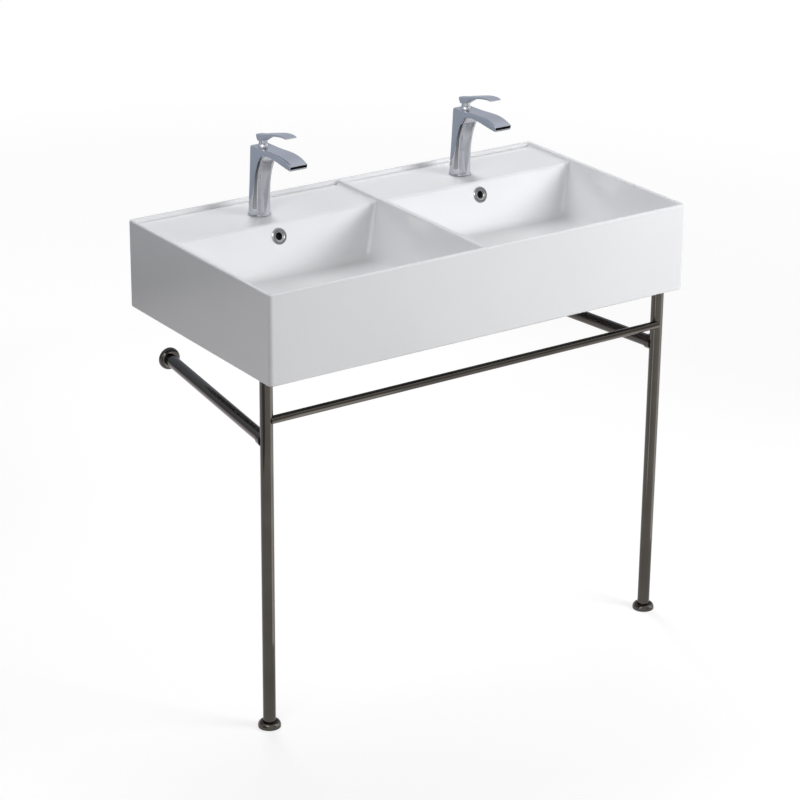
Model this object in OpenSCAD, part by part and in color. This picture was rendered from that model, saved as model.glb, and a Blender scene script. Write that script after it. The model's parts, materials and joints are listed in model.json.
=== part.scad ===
// Double ceramic basin on two front legs, with a mixer tap and a click waste for each bowl.
// X runs along the wall, Y = 0 is the wall and -Y the room, and Z is up.
// The origin is the middle of the line between the basin's two wall bolts.

/* [Basin] */
// Width of the ceramic
basin_w = 970; // [920:5:1100]
// Depth of the ceramic, from the wall to the front
basin_d = 516; // [500:2:560]
// Height of the ceramic
basin_h = 178; // [170:1:210]
// Height of the rim above the floor
rim_height = 901; // [850:1:950]
// Width of the raised rim
rim_t = 9; // [8:0.5:14]
// Thickness of the wall between the bowls, at the rim
divider_t = 11; // [9:0.5:20]
// Drop from the rim to the tap deck
deck_drop = 8; // [5:0.5:12]
// Distance from the wall to the front edge of the tap deck
deck_d = 151; // [146:1:170]
// Thickness of the tap deck
deck_t = 12; // [9:0.5:16]
// Depth of a bowl below the rim
bowl_depth = 104; // [90:1:110]
// Further fall of the bowl's floor to its waste
dish_depth = 6; // [3:0.5:8]
// Width of the fall round the waste
dish_d = 250; // [200:5:260]
// Lean of the bowl's side walls, as run over drop
side_lean = 0.42; // [0.25:0.01:0.5]
// Lean of the bowl's back wall, as run over drop
back_lean = 0.35; // [0.2:0.01:0.45]
// Lean of the bowl's front wall, as run over drop
front_lean = 0.3; // [0.15:0.01:0.4]
// Rounding of the bowl's upright corners
corner_round = 7; // [4:0.5:12]
// Rounding between the bowl's walls and its floor
floor_round = 15; // [8:1:20]
// Thickness of the bowl's ceramic
shell_t = 10; // [8:0.5:13]
// Thickness of the outer walls
apron_t = 11; // [9:0.5:15]
// Rounding of the outer upright corners
outer_round = 9; // [6:0.5:14]
// Rounding of the outer top and bottom edges
edge_round = 3.5; // [2:0.5:5]

/* [Wall fixing] */
// Drop from the rim to the wall bolts
bolt_drop = 82; // [70:1:95]
// Distance between the two wall bolts
bolt_span = 280; // [240:5:320]
// Hole in a wall sleeve
bolt_hole_d = 11; // [9:0.5:12]
// Hole in the ceramic for a wall sleeve
sleeve_hole_d = 16; // [14.5:0.5:18]

/* [Waste] */
// Distance from the wall to the middle of the wastes
drain_y = 330; // [315:1:345]
// Hole in the ceramic for the waste
drain_hole_d = 46; // [44.5:0.5:50]
// Outside of the waste's threaded tube
waste_tube_d = 42; // [40:0.5:44]
// Bore of the waste
waste_bore_d = 35; // [33:0.5:36]
// Flange of the waste
waste_flange_d = 64; // [60:1:68]
// Length of threaded tube below the ceramic
waste_drop = 34; // [30:1:44]
// Outside of the tailpiece
tail_d = 32; // [30:0.5:32.5]
// Bore of the tailpiece
tail_bore_d = 29; // [26:0.5:29.5]
// Length of the tailpiece below the waste
tail_len = 60; // [40:1:65]
// Lift of the click plug
plug_lift = 8; // [5:0.5:9]

/* [Overflow] */
// Drop from the rim to the middle of the overflow ring
overflow_drop = 34; // [30:0.5:40]
// Outside of the overflow ring
overflow_d = 33; // [30:0.5:36]
// Open hole in the overflow ring
overflow_bore_d = 14; // [10:0.5:16]
// Hole in the ceramic for the overflow ring's sleeve
overflow_hole_d = 22; // [20:0.5:24]

/* [Tap] */
// Distance from the wall to the middle of the taps
tap_y = 88; // [84:1:92]
// Hole in the deck for the tap
tap_hole_d = 35; // [34:0.5:36]
// Width of the tap body's foot
tap_base_d = 43; // [42:0.5:46]
// Height of the tap body's top above the deck
tap_h = 143; // [135:1:170]
// Reach of the spout in front of the tap's middle
spout_reach = 145; // [135:1:165]
// Width of the tap's column and spout
spout_w = 38; // [36:0.5:42]
// Distance of the cartridge in front of the tap's middle
cartridge_y = 17; // [16:0.5:18]
// Outside of the cartridge
cartridge_d = 23; // [21:0.5:23.5]
// Length of the lever, from its back edge to its tip
lever_len = 119; // [100:1:130]
// Width of the lever's leaf at its tip
lever_w = 26; // [22:1:30]
// Rise of the lever's top above the tap body
lever_rise = 42.5; // [40:0.5:48]
// Rise of the lever's back edge above the tap body
lever_back_rise = 20.5; // [20:0.5:22]
// Outside of the lever's neck
neck_d = 17.2; // [15:0.2:18]
// Outside of the aerator
aerator_d = 17; // [15:0.5:19]

/* [Stand] */
// Outside of the legs and side rails
tube_d = 25; // [22:0.5:28]
// Wall of the legs and side rails
tube_t = 1.5; // [1:0.1:2.5]
// Distance of a leg's middle from the ceramic's side
leg_inset_x = 22; // [20:0.5:30]
// Distance of a leg's middle from the ceramic's front
leg_inset_y = 49; // [40:1:60]
// Height of the side rails above the floor
rail_height = 596; // [500:1:605]
// Distance of a side rail's wall end from the middle
rail_wall_x = 402; // [380:1:440]
// Height of the towel bar above the floor
bar_height = 640; // [632:1:680]
// Thickness of the towel bar
bar_d = 16; // [12:0.5:18]
// Wall of the towel bar
bar_t = 1.2; // [1:0.1:2]
// Distance of the towel bar's middle in front of the legs' middles
bar_offset = 8; // [4:0.5:10]
// Width of the domed flanges
dome_d = 45; // [44:0.5:56]
// Height of the domed flanges
dome_h = 12; // [11:0.5:16]
// Length of the collar on a side rail's front end
collar_len = 8; // [6:0.5:14]

/* [Fits] */
// Radial clearance of a fixed fit
slip = 0.05; // [0.03:0.01:0.1]
// Radial clearance of a turning or sliding fit
play = 0.06; // [0.03:0.01:0.1]
// Gap between curved faces that only come near each other
near = 0.35; // [0.3:0.05:0.6]

/* [Hidden] */
$fn = 96;
hull_fn = 32;
cut = 1;

// Levels
rim_z = bolt_drop;
floor_z = rim_z - rim_height;
bottom_z = rim_z - basin_h;
deck_z = rim_z - deck_drop;
bowl_z = rim_z - bowl_depth;
drain_z = bowl_z - dish_depth;

// Plan of one bowl, at the rim
bowl_x0 = divider_t / 2;
bowl_x1 = basin_w / 2 - rim_t;
bowl_x = (bowl_x0 + bowl_x1) / 2;
bowl_front = basin_d - rim_t;

// Waste levels and radii
waste_gasket_t = 1.5;
waste_recess = 3.5;
recess_play = 1.5;
waste_flange_t = 2.6;
flange_seat_z = drain_z - waste_recess;
flange_z = flange_seat_z + waste_gasket_t;
flange_top_z = flange_z + waste_flange_t;
drain_boss_d = drain_hole_d + 30;
boss_z = bottom_z + 22;
waste_slot_w = 12;
low_gasket_t = 4;
lock_nut_t = 8;
tube_end_z = boss_z - waste_drop;
tail_grip = 20;
core_seat_z = boss_z - low_gasket_t;
core_t = 8;
core_hub_h = 22;
core_rim = 2;
spoke_w = 3;
funnel_d = 48;
funnel_h = 5;
plug_d = 46;
plug_stem_d = 8;
plug_boss_d = 30;
plug_edge = 1;
plug_dome = 3.4;
seal_t = 2.7;

// Overflow duct behind and below the bowl
duct_w = 24;
duct_t = 12;
duct_wall = 10;
duct_low_z = flange_seat_z - 26;
overflow_tilt = atan(back_lean);
overflow_sleeve_len = 14;
overflow_lip = 2.5;
overflow_seat = 2 * slip;

// Tap levels, all above the deck
gasket_t = 1;
ring_t = 3;
tap_foot = gasket_t + ring_t;
pivot_z = tap_h - 2;
cavity_z = tap_h - 38;
thread_depth = 4.5;
dome_r = 11;
dome_bore_r = 9.4;
dome_hole_r = 6.3;
dome_skirt_r = 13.1;
carrier_bore_r = 8.2;
carrier_r = 7.6;
carrier_low_r = 9;
port_r = 2.2;
port_x = 5;
port_y = 12.5;
well_h = 12;
outlet_y = 6;
outlet_w = 6;
outlet_lift = 3;
groove_t = 1.4;
channel_w = 12;
stem_d = 5;
pin_d = 3;
grub_d = 4;
aerator_y = spout_reach - 15;
underside_z = tap_h - 13.5;
stud_d = 8;
stud_y = -10;
stud_grip = 14;
inlet_x = 7;
inlet_y = 10;
inlet_d = 9;
inlet_depth = 14;
horseshoe_d = 52;
horseshoe_slot_w = 26;
stud_tail = 8;
rubber_t = 3;
horseshoe_t = 2;
tap_nut_t = 10;

// Ceramic bosses for the fixings
bolt_boss_d = sleeve_hole_d + 28;
bolt_boss_l = apron_t + 7;
sleeve_flange_t = 2;
insert_d = 16;
insert_len = 38;
leg_boss_wall = 8;
leg_boss_x = leg_inset_x + insert_d / 2 + leg_boss_wall;
leg_boss_y = leg_inset_y + insert_d / 2 + leg_boss_wall;
leg_boss_h = insert_len + 10;
rib_rise = 30;

// Stand
leg_x = basin_w / 2 - leg_inset_x;
leg_y = basin_d - leg_inset_y;
rail_z = floor_z + rail_height;
bar_z = floor_z + bar_height;
toe_in = atan((leg_x - rail_wall_x) / leg_y);
rail_len = leg_y / cos(toe_in);
dome_t = 1.5;
dome_roll = 0.8;
plate_t = 3;
plate_d = dome_d - 2 * dome_t - 2;
plate_screw_d = 4.4;
plate_screw_r = (tube_d / 2 + plate_d / 2) / 2;
plate_screws = 3;
spigot_len = 14;
pad_t = 2;
foot_disc_t = 2;
foot_hex_t = 3;
plug_flange_t = 1.5;
plug_len = 32;
foot_screw_d = 8;
leg_foot_z = floor_z + pad_t + foot_disc_t + foot_hex_t + plug_flange_t;
top_pad_t = 1.5;
leg_top_z = bottom_z - top_pad_t - plug_flange_t;
top_stud_out = 30;
collar_t = 2.5;
collar_start = tube_d / 4;
flange_play = 0.15;
bar_ease = 3;

// Points of a smooth curve through p, with n steps between neighbours
function spline(p, n) = [
  for (i = [0 : len(p) - 2])
    for (k = [0 : n - 1])
      spline_point(p[max(i - 1, 0)], p[i], p[i + 1], p[min(i + 2, len(p) - 1)], k / n),
  p[len(p) - 1]
];
function spline_point(a, b, c, d, t) =
  0.5 * (2 * b + (c - a) * t + (2 * a - 5 * b + 4 * c - d) * t * t + (3 * b - a - 3 * c + d) * t * t * t);

// Points of an arc of an ellipse in the plane
function arc(x, y, rx, ry, a0, a1, n) = [
  for (i = [0 : n])
    let (a = a0 + (a1 - a0) * i / n)
    [x + rx * cos(a), y + ry * sin(a)]
];

// Ceramic

// Distance of the bowl's back wall from the wall of the room, at a height
function back_wall(z) = deck_d + back_lean * (deck_z - z);

// Block with round upright corners and eased top and bottom edges
module outer_form() {
  corner_x = basin_w / 2 - outer_round;
  core = outer_round - edge_round;
  hull()
    for (x = [-corner_x, corner_x], y = [outer_round, basin_d - outer_round], a = [0 : 22.5 : 90])
      translate([x, -y, bottom_z + edge_round * (1 - sin(a))])
        cylinder(r = core + edge_round * cos(a), h = basin_h - 2 * edge_round * (1 - sin(a)), $fn = hull_fn);
}

// Space of one bowl, or with grow the outside of its ceramic
module bowl_form(side, grow = 0) {
  depth = bowl_depth - floor_round;
  lean_x = floor_round * sqrt(1 + side_lean * side_lean);
  lean_b = floor_round * sqrt(1 + back_lean * back_lean);
  lean_f = floor_round * sqrt(1 + front_lean * front_lean);
  low_x = [bowl_x0 + side_lean * depth + lean_x, bowl_x1 - side_lean * depth - lean_x];
  low_y = [back_wall(rim_z - depth) + lean_b, bowl_front - front_lean * depth - lean_f];
  top_x = [bowl_x0 + corner_round, bowl_x1 - corner_round];
  top_y = [back_wall(rim_z) + corner_round, bowl_front - corner_round];
  hull() {
    for (x = top_x, y = top_y)
      translate([side * x, -y, rim_z])
        cylinder(r = corner_round + grow, h = cut, $fn = hull_fn);
    for (x = low_x, y = low_y)
      translate([side * x, -y, bowl_z + floor_round])
        sphere(r = floor_round + grow, $fn = hull_fn);
  }
}

// Shallow recess of one tap deck, with side walls in line with the bowl's
module deck_recess(side) {
  inset = side_lean * deck_drop;
  rise = side_lean * cut;
  translate([0, -rim_t, 0])
    rotate([90, 0, 0])
      linear_extrude(deck_d - rim_t + cut)
        polygon([
          [side * (bowl_x0 - rise), rim_z + cut],
          [side * (bowl_x0 + inset), deck_z],
          [side * (bowl_x1 - inset), deck_z],
          [side * (bowl_x1 + rise), rim_z + cut]
        ]);
}

// Outline, seen from the side, of the overflow duct at a distance behind the bowl's back wall
function duct_outline(back, front, top_z, low_z, high_z, end_y) = [
  [-back_wall(top_z) + back, top_z],
  [-back_wall(low_z) + back, low_z],
  [-end_y, low_z],
  [-end_y, high_z],
  [-back_wall(high_z) + front, high_z],
  [-back_wall(top_z) + front, top_z]
];

module duct_prism(side, width, outline) {
  translate([side * bowl_x - width / 2, 0, 0])
    rotate([90, 0, 90])
      linear_extrude(width)
        polygon(outline);
}

module duct_block(side) {
  duct_prism(
    side,
    duct_w + 2 * duct_wall,
    duct_outline(
      shell_t + duct_t + duct_wall, 0, deck_z - deck_t / 2,
      duct_low_z - duct_wall, bowl_z, drain_y
    )
  );
}

module duct_channel(side) {
  duct_prism(
    side,
    duct_w,
    duct_outline(
      shell_t + duct_t, shell_t, rim_z - overflow_drop + overflow_hole_d / 2,
      duct_low_z, duct_low_z + duct_t, drain_y
    )
  );
}

// Frame at an overflow, with Z along the way out of the bowl's back wall
module at_overflow(side) {
  z = rim_z - overflow_drop;
  translate([side * bowl_x, -back_wall(z), z])
    rotate([90 - overflow_tilt, 0, 0])
      children();
}

module at_drain(side) {
  translate([side * bowl_x, -drain_y, 0])
    children();
}

module at_bolt(side) {
  translate([side * bolt_span / 2, 0, 0])
    rotate([90, 0, 0])
      children();
}

module at_leg(side) {
  translate([side * leg_x, -leg_y, 0])
    children();
}

// Solid ceramic before the bowls and holes are cut
module basin_walls() {
  inner_w = basin_w - 2 * apron_t;
  inner_d = basin_d - 2 * apron_t;
  difference() {
    translate([-basin_w / 2, -basin_d, bottom_z])
      cube([basin_w, basin_d, basin_h]);
    translate([-inner_w / 2, -basin_d + apron_t, bottom_z - cut])
      cube([inner_w, inner_d, deck_z - deck_t - bottom_z + cut]);
  }
  for (side = [-1, 1]) {
    bowl_form(side, shell_t);
    duct_block(side);
    at_drain(side)
      translate([0, 0, boss_z])
        cylinder(d = drain_boss_d, h = bowl_z - boss_z);
    at_bolt(side)
      cylinder(d = bolt_boss_d, h = bolt_boss_l);
    translate([side * (basin_w - leg_boss_x) / 2 - leg_boss_x / 2, -basin_d, bottom_z])
      cube([leg_boss_x, leg_boss_y, leg_boss_h]);
  }
  translate([-apron_t / 2, -basin_d + cut, bottom_z + rib_rise])
    cube([apron_t, basin_d - 2 * cut, bowl_z - bottom_z]);
}

module basin() {
  color("white")
    difference() {
      intersection() {
        outer_form();
        basin_walls();
      }
      for (side = [-1, 1]) {
        bowl_form(side);
        deck_recess(side);
        at_drain(side) {
          translate([0, 0, drain_z])
            cylinder(d1 = waste_flange_d + 2 * recess_play, d2 = dish_d, h = dish_depth);
          translate([0, 0, flange_seat_z])
            cylinder(r = waste_flange_d / 2 + recess_play, h = waste_recess + cut);
          translate([0, 0, bottom_z])
            cylinder(d = drain_hole_d, h = basin_h);
        }
        duct_channel(side);
        at_overflow(side)
          translate([0, 0, -shell_t - 6])
            cylinder(d = overflow_hole_d, h = shell_t + 12);
        translate([side * bowl_x, -tap_y, deck_z - deck_t - cut])
          cylinder(d = tap_hole_d, h = deck_t + 2 * cut);
        at_bolt(side)
          translate([0, 0, -cut])
            cylinder(d = sleeve_hole_d, h = bolt_boss_l + 2 * cut);
        at_leg(side)
          translate([0, 0, bottom_z - cut])
            cylinder(d = insert_d, h = insert_len + cut);
      }
    }
}

module wall_sleeves() {
  color("gainsboro")
    for (side = [-1, 1])
      at_bolt(side)
        difference() {
          union() {
            cylinder(r = sleeve_hole_d / 2 - slip, h = bolt_boss_l + sleeve_flange_t);
            translate([0, 0, bolt_boss_l])
              cylinder(d = sleeve_hole_d + 8, h = sleeve_flange_t);
          }
          translate([0, 0, -cut])
            cylinder(d = bolt_hole_d, h = bolt_boss_l + sleeve_flange_t + 2 * cut);
        }
}

module overflow_ring(side) {
  color("silver")
    at_overflow(side)
      translate([0, 0, overflow_seat])
        rotate_extrude()
          polygon(concat(
            [
              [overflow_bore_d / 2, -overflow_sleeve_len],
              [overflow_hole_d / 2 - slip, -overflow_sleeve_len],
              [overflow_hole_d / 2 - slip, 0],
              [overflow_d / 2, 0]
            ],
            arc(overflow_d / 2 - overflow_lip, 0, overflow_lip, overflow_lip, 15, 90, 5),
            [
              [overflow_bore_d / 2 + 2.5, overflow_lip],
              [overflow_bore_d / 2, overflow_lip - 1.5]
            ]
          ));
}

// Waste

module waste_body(side) {
  bore_r = waste_bore_d / 2;
  low_r = tail_d / 2 + 0.6;
  color("silver")
    at_drain(side)
      difference() {
        rotate_extrude()
          polygon([
            [low_r, tube_end_z],
            [waste_tube_d / 2, tube_end_z],
            [waste_tube_d / 2, flange_z],
            [waste_flange_d / 2, flange_z],
            [waste_flange_d / 2, flange_z + 1.2],
            [waste_flange_d / 2 - 2, flange_top_z],
            [funnel_d / 2, flange_top_z],
            [bore_r, flange_top_z - funnel_h],
            [bore_r, core_seat_z],
            [low_r, core_seat_z]
          ]);
        for (a = [0, 90])
          rotate(a)
            translate([-waste_tube_d, -waste_slot_w / 2, duct_low_z])
              cube([2 * waste_tube_d, waste_slot_w, duct_t]);
      }
}

module waste_core(side) {
  ring_r = waste_bore_d / 2 - slip;
  color("dimgray")
    at_drain(side)
      translate([0, 0, core_seat_z])
        difference() {
          union() {
            difference() {
              cylinder(r = ring_r, h = core_t);
              translate([0, 0, -cut])
                cylinder(r = ring_r - core_rim, h = core_t + 2 * cut);
            }
            cylinder(d = plug_stem_d + 6, h = core_hub_h);
            intersection() {
              cylinder(r = ring_r, h = core_t);
              for (a = [45, 135])
                rotate(a)
                  translate([-waste_bore_d / 2, -spoke_w / 2, 0])
                    cube([waste_bore_d, spoke_w, core_t]);
            }
          }
          translate([0, 0, -cut])
            cylinder(r = plug_stem_d / 2 + play, h = core_hub_h + 2 * cut);
        }
}

module waste_plug(side) {
  rest_z = flange_top_z + near;
  color("silver")
    at_drain(side)
      rotate_extrude()
        polygon(concat(
          [
            [0, core_seat_z - 2],
            [plug_stem_d / 2 - 1, core_seat_z - 2],
            [plug_stem_d / 2, core_seat_z - 1],
            [plug_stem_d / 2, rest_z - seal_t - 2],
            [plug_boss_d / 2, rest_z - seal_t - 1.2],
            [plug_boss_d / 2, rest_z]
          ],
          arc(0, rest_z + plug_edge, plug_d / 2, plug_dome, 0, 90, 8)
        ));
}

// The seal is a wedge ring under the plug's rim, clear of the waste's funnel
module plug_seal(side) {
  high_z = flange_top_z + near;
  low_z = high_z - seal_t;
  slope = (funnel_d / 2 - waste_bore_d / 2) / funnel_h;
  inner = plug_boss_d / 2 + slip;
  low_r = funnel_d / 2 - slope * (flange_top_z - low_z) - near;
  color("black")
    at_drain(side)
      rotate_extrude()
        polygon([
          [inner, low_z],
          [low_r, low_z],
          [funnel_d / 2 - 3 * near, high_z - 1],
          [funnel_d / 2 - 3 * near, high_z],
          [inner, high_z]
        ]);
}

module washer(inner_r, outer_r, z, t) {
  translate([0, 0, z])
    difference() {
      cylinder(r = outer_r, h = t);
      translate([0, 0, -cut])
        cylinder(r = inner_r, h = t + 2 * cut);
    }
}

module waste_top_gaskets() {
  color("black")
    for (side = [-1, 1])
      at_drain(side)
        washer(drain_hole_d / 2, waste_flange_d / 2, flange_seat_z, waste_gasket_t);
}

module waste_low_gaskets() {
  color("black")
    for (side = [-1, 1])
      at_drain(side)
        washer(waste_tube_d / 2 + slip, drain_boss_d / 2 - 4, boss_z - low_gasket_t, low_gasket_t);
}

module waste_lock_nuts() {
  color("goldenrod")
    for (side = [-1, 1])
      at_drain(side)
        translate([0, 0, boss_z - low_gasket_t - lock_nut_t])
          difference() {
            cylinder(d = drain_boss_d - 10, h = lock_nut_t, $fn = 6);
            translate([0, 0, -cut])
              cylinder(r = waste_tube_d / 2 + slip, h = lock_nut_t + 2 * cut);
          }
}

module tailpiece(side) {
  color("silver")
    at_drain(side)
      translate([0, 0, tube_end_z - tail_len])
        difference() {
          union() {
            cylinder(d = tail_d, h = tail_len);
            translate([0, 0, tail_len])
              cylinder(r = tail_d / 2 + 0.6 - slip, h = tail_grip);
          }
          translate([0, 0, -cut])
            cylinder(d = tail_bore_d, h = tail_len + tail_grip + 2 * cut);
        }
}

// Tap

// Frame on the deck with the tap's Y turned to the front
module at_tap(side) {
  translate([side * bowl_x, -tap_y, deck_z])
    children();
}

module at_cartridge(side) {
  at_tap(side)
    translate([0, -cartridge_y, 0])
      children();
}

// Each row is one slice through the tap: a point on its back or top, the point on its
// front or underside across from it, the slice's width and its squareness
tap_slices = [
  [-tap_base_d / 2, tap_foot, tap_base_d / 2, tap_foot, tap_base_d, 2],
  [-18.5, 30, 20.5, 30, (tap_base_d + spout_w) / 2, 2],
  [-14.5, tap_h - 81, 21, tap_h - 81, spout_w, 2.1],
  [-10.5, tap_h - 51, 25, tap_h - 54, spout_w, 2.4],
  [-7, tap_h - 23, 34, tap_h - 30, spout_w, 3.2],
  [-4.5, tap_h - 6, 41, tap_h - 18, spout_w, 4.2],
  [1, tap_h - 0.5, 48, tap_h - 12, spout_w, 5],
  [20, tap_h, 56, tap_h - 9.5, spout_w, 6],
  [50, tap_h + 0.5, 68, tap_h - 8.5, spout_w + 0.5, 6],
  [spout_reach - 65, tap_h + 2.3, spout_reach - 59, tap_h - 9.8, spout_w + 1, 6],
  [spout_reach - 41, tap_h + 2.8, spout_reach - 41, tap_h - 12.3, spout_w + 1, 6],
  [spout_reach - 19, tap_h - 0.4, spout_reach - 21, tap_h - 15, spout_w + 1, 6],
  [spout_reach, tap_h - 7, spout_reach - 2.5, tap_h - 16.8, spout_w + 1, 6]
];
tap_sides = 36;
tap_steps = 3;

function signed_power(v, e) = sign(v) * pow(abs(v), e);
function slice_points(s) = [
  for (j = [0 : tap_sides - 1])
    let (
      a = 360 * j / tap_sides,
      across = signed_power(cos(a), 2 / s[5]) * s[4] / 2,
      along = signed_power(sin(a), 2 / s[5]) / 2,
      y = (s[0] + s[2]) / 2 + (s[2] - s[0]) * along,
      z = (s[1] + s[3]) / 2 + (s[3] - s[1]) * along
    )
    [across, -y, z]
];

module tap_casting() {
  slices = spline(tap_slices, tap_steps);
  rings = len(slices);
  n = tap_sides;
  points = [for (s = slices) each slice_points(s)];
  walls = [
    for (i = [0 : rings - 2], j = [0 : n - 1])
      let (
        a = i * n + j,
        b = i * n + (j + 1) % n
      )
      each [[a, b, b + n], [a, b + n, a + n]]
  ];
  foot = [for (j = [0 : n - 1]) n - 1 - j];
  lip = [for (j = [0 : n - 1]) (rings - 1) * n + j];
  polyhedron(points, concat(walls, [foot, lip]), convexity = 6);
}

// Water way from the cartridge to the aerator, seen from the side
module spout_channel() {
  start = cartridge_y + cartridge_d / 3;
  knee = cartridge_y + cartridge_d;
  translate([-channel_w / 2, 0, 0])
    rotate([90, 0, 90])
      linear_extrude(channel_w)
        polygon([
          [-start, tap_h - 11],
          [-knee, tap_h - 9.5],
          [-knee - 6, tap_h - 6.2],
          [-aerator_y, tap_h - 6.2],
          [-aerator_y, tap_h - 2.8],
          [-knee - 4, tap_h - 2.2],
          [-start, tap_h - 6]
        ]);
}

module tap_body(side) {
  color("silver")
    at_tap(side)
      difference() {
        tap_casting();
        translate([0, -cartridge_y, cavity_z])
          cylinder(r = cartridge_d / 2 + slip, h = tap_h);
        translate([0, -cartridge_y, tap_h - thread_depth])
          cylinder(r = dome_skirt_r + slip, h = tap_h);
        spout_channel();
        translate([0, -aerator_y, 0])
          cylinder(r = aerator_d / 2 + slip, h = tap_h - 4);
        for (x = [-1, 1]) {
          translate([x * inlet_x, -inlet_y, 0])
            cylinder(d = inlet_d, h = tap_foot + inlet_depth);
          translate([x * port_x, -port_y, tap_foot + inlet_depth - cut])
            cylinder(r = port_r, h = cavity_z - tap_foot - inlet_depth + 2 * cut);
        }
        translate([0, -stud_y, 0])
          cylinder(r = stud_d / 2 + slip, h = tap_foot + stud_grip);
      }
}

module tap_base_rings() {
  color("silver")
    for (side = [-1, 1])
      at_tap(side)
        translate([0, 0, gasket_t])
          rotate_extrude()
            polygon(concat(
              [[tap_hole_d / 2, 0], [tap_base_d / 2 + 1.2, 0]],
              arc(tap_base_d / 2 - 0.6, ring_t - 1.8, 1.8, 1.8, 0, 90, 4),
              [[tap_hole_d / 2, ring_t]]
            ));
}

module tap_base_gaskets() {
  color("black")
    for (side = [-1, 1])
      at_tap(side)
        washer(tap_hole_d / 2, tap_base_d / 2, 0, gasket_t);
}

// The water rises from the two inlet ports, leaves by the window in front and runs up the groove
module cartridge(side) {
  color("gainsboro")
    at_cartridge(side)
      difference() {
        translate([0, 0, cavity_z])
          cylinder(d = cartridge_d, h = tap_h - thread_depth - cavity_z);
        translate([0, 0, cavity_z + well_h])
          cylinder(r = carrier_low_r + play, h = tap_h);
        for (x = [-1, 1])
          translate([x * port_x, cartridge_y - port_y, cavity_z - cut])
            cylinder(r = port_r, h = well_h + 2 * cut);
        translate([0, -outlet_y, cavity_z + outlet_lift])
          cylinder(r = port_r, h = well_h);
        translate([-outlet_w / 2, -cartridge_d, cavity_z + outlet_lift])
          cube([outlet_w, cartridge_d - outlet_y, well_h / 2]);
        translate([-outlet_w / 2, -cartridge_d, cavity_z + outlet_lift])
          cube([outlet_w, cartridge_d / 2 + groove_t, tap_h - thread_depth - 1 - cavity_z - outlet_lift]);
      }
}

module carrier(side) {
  color("ivory")
    at_cartridge(side)
      difference() {
        union() {
          translate([0, 0, cavity_z + well_h])
            cylinder(r = carrier_low_r, h = tap_h - thread_depth - near - cavity_z - well_h);
          translate([0, 0, cavity_z + well_h])
            cylinder(r = carrier_r, h = tap_h + 2 - cavity_z - well_h);
        }
        translate([-stem_d / 2 - near, -cartridge_d, cavity_z + 20])
          cube([stem_d + 2 * near, 2 * cartridge_d, tap_h]);
        translate([0, 0, pivot_z])
          rotate([0, 90, 0])
            cylinder(r = pin_d / 2 + slip, h = cartridge_d, center = true);
      }
}

module pivot_pin(side) {
  color("gray")
    at_cartridge(side)
      translate([0, 0, pivot_z])
        rotate([0, 90, 0])
          cylinder(d = pin_d, h = 2 * carrier_r - 0.6, center = true);
}

module lever_stem(side) {
  low_z = pivot_z - 14;
  color("gray")
    at_cartridge(side)
      difference() {
        translate([0, 0, low_z])
          cylinder(d = stem_d, h = tap_h + 20 - low_z);
        translate([0, 0, pivot_z])
          rotate([0, 90, 0])
            cylinder(r = pin_d / 2 + play, h = 2 * stem_d, center = true);
      }
}

module dome_nut(side) {
  color("silver")
    at_cartridge(side)
      difference() {
        union() {
          translate([0, 0, tap_h - thread_depth])
            cylinder(r = dome_skirt_r, h = thread_depth);
          intersection() {
            translate([0, 0, pivot_z])
              sphere(r = dome_r);
            translate([0, 0, tap_h - cut])
              cylinder(r = 2 * dome_r, h = 2 * dome_r);
          }
        }
        translate([0, 0, pivot_z])
          sphere(r = dome_bore_r);
        translate([0, 0, tap_h - thread_depth - cut])
          cylinder(r = carrier_bore_r, h = thread_depth);
        translate([0, 0, pivot_z])
          cylinder(r = dome_hole_r, h = 2 * dome_r);
      }
}

// Lever outlines: the side view and the plan, with distances to the front of the tap's middle
lever_back = 1;
lever_tip = lever_back + lever_len;

// Point at a share of the lever's length and of its top's rise from back edge to tip, and a drop below that
function lever_point(along, share, drop = 0) = [
  lever_back + lever_len * along,
  tap_h + lever_back_rise + (lever_rise - lever_back_rise) * share - drop
];
lever_top = [
  lever_point(0, 0), lever_point(0.24, 0.32), lever_point(0.49, 0.66),
  lever_point(0.72, 0.93), lever_point(0.87, 1), lever_point(1, 0.91)
];
lever_under = [
  lever_point(0.995, 0.91, 1.7), lever_point(0.87, 1, 4), lever_point(0.7, 0.91, 5), lever_point(0.52, 0.69, 5.4),
  lever_point(0.38, 0.51, 7), lever_point(0.28, 0.37, 11), [cartridge_y + 8, tap_h + 12], [cartridge_y, tap_h + 10.5]
];
lever_heel = [
  [cartridge_y - neck_d / 2, tap_h + 8.5], [cartridge_y - neck_d / 2 - 4, tap_h + 14],
  lever_point(0, 0, 1.9)
];
lever_edge = [
  [lever_back, neck_d / 2 - 2], [lever_back + 2, neck_d / 2 - 0.4], [cartridge_y, neck_d / 2],
  [cartridge_y + neck_d, neck_d / 2 + 0.8], [lever_back + lever_len * 0.49, lever_w / 2 - 1.2],
  [lever_back + lever_len * 0.79, lever_w / 2], [lever_tip - 4, lever_w / 2 - 0.4], [lever_tip, lever_w / 2 - 3]
];

module lever_leaf() {
  edge = spline(lever_edge, 3);
  last = len(edge) - 1;
  intersection() {
    translate([lever_w, 0, 0])
      rotate([90, 0, -90])
        linear_extrude(2 * lever_w)
          polygon(concat(spline(lever_top, 3), spline(lever_under, 3), lever_heel));
    translate([0, 0, tap_h - cut])
      linear_extrude(lever_rise + 2 * cut)
        polygon(concat(
          [for (p = edge) [p[1], -p[0]]],
          [for (i = [0 : last]) [-edge[last - i][1], -edge[last - i][0]]]
        ));
  }
}

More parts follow.
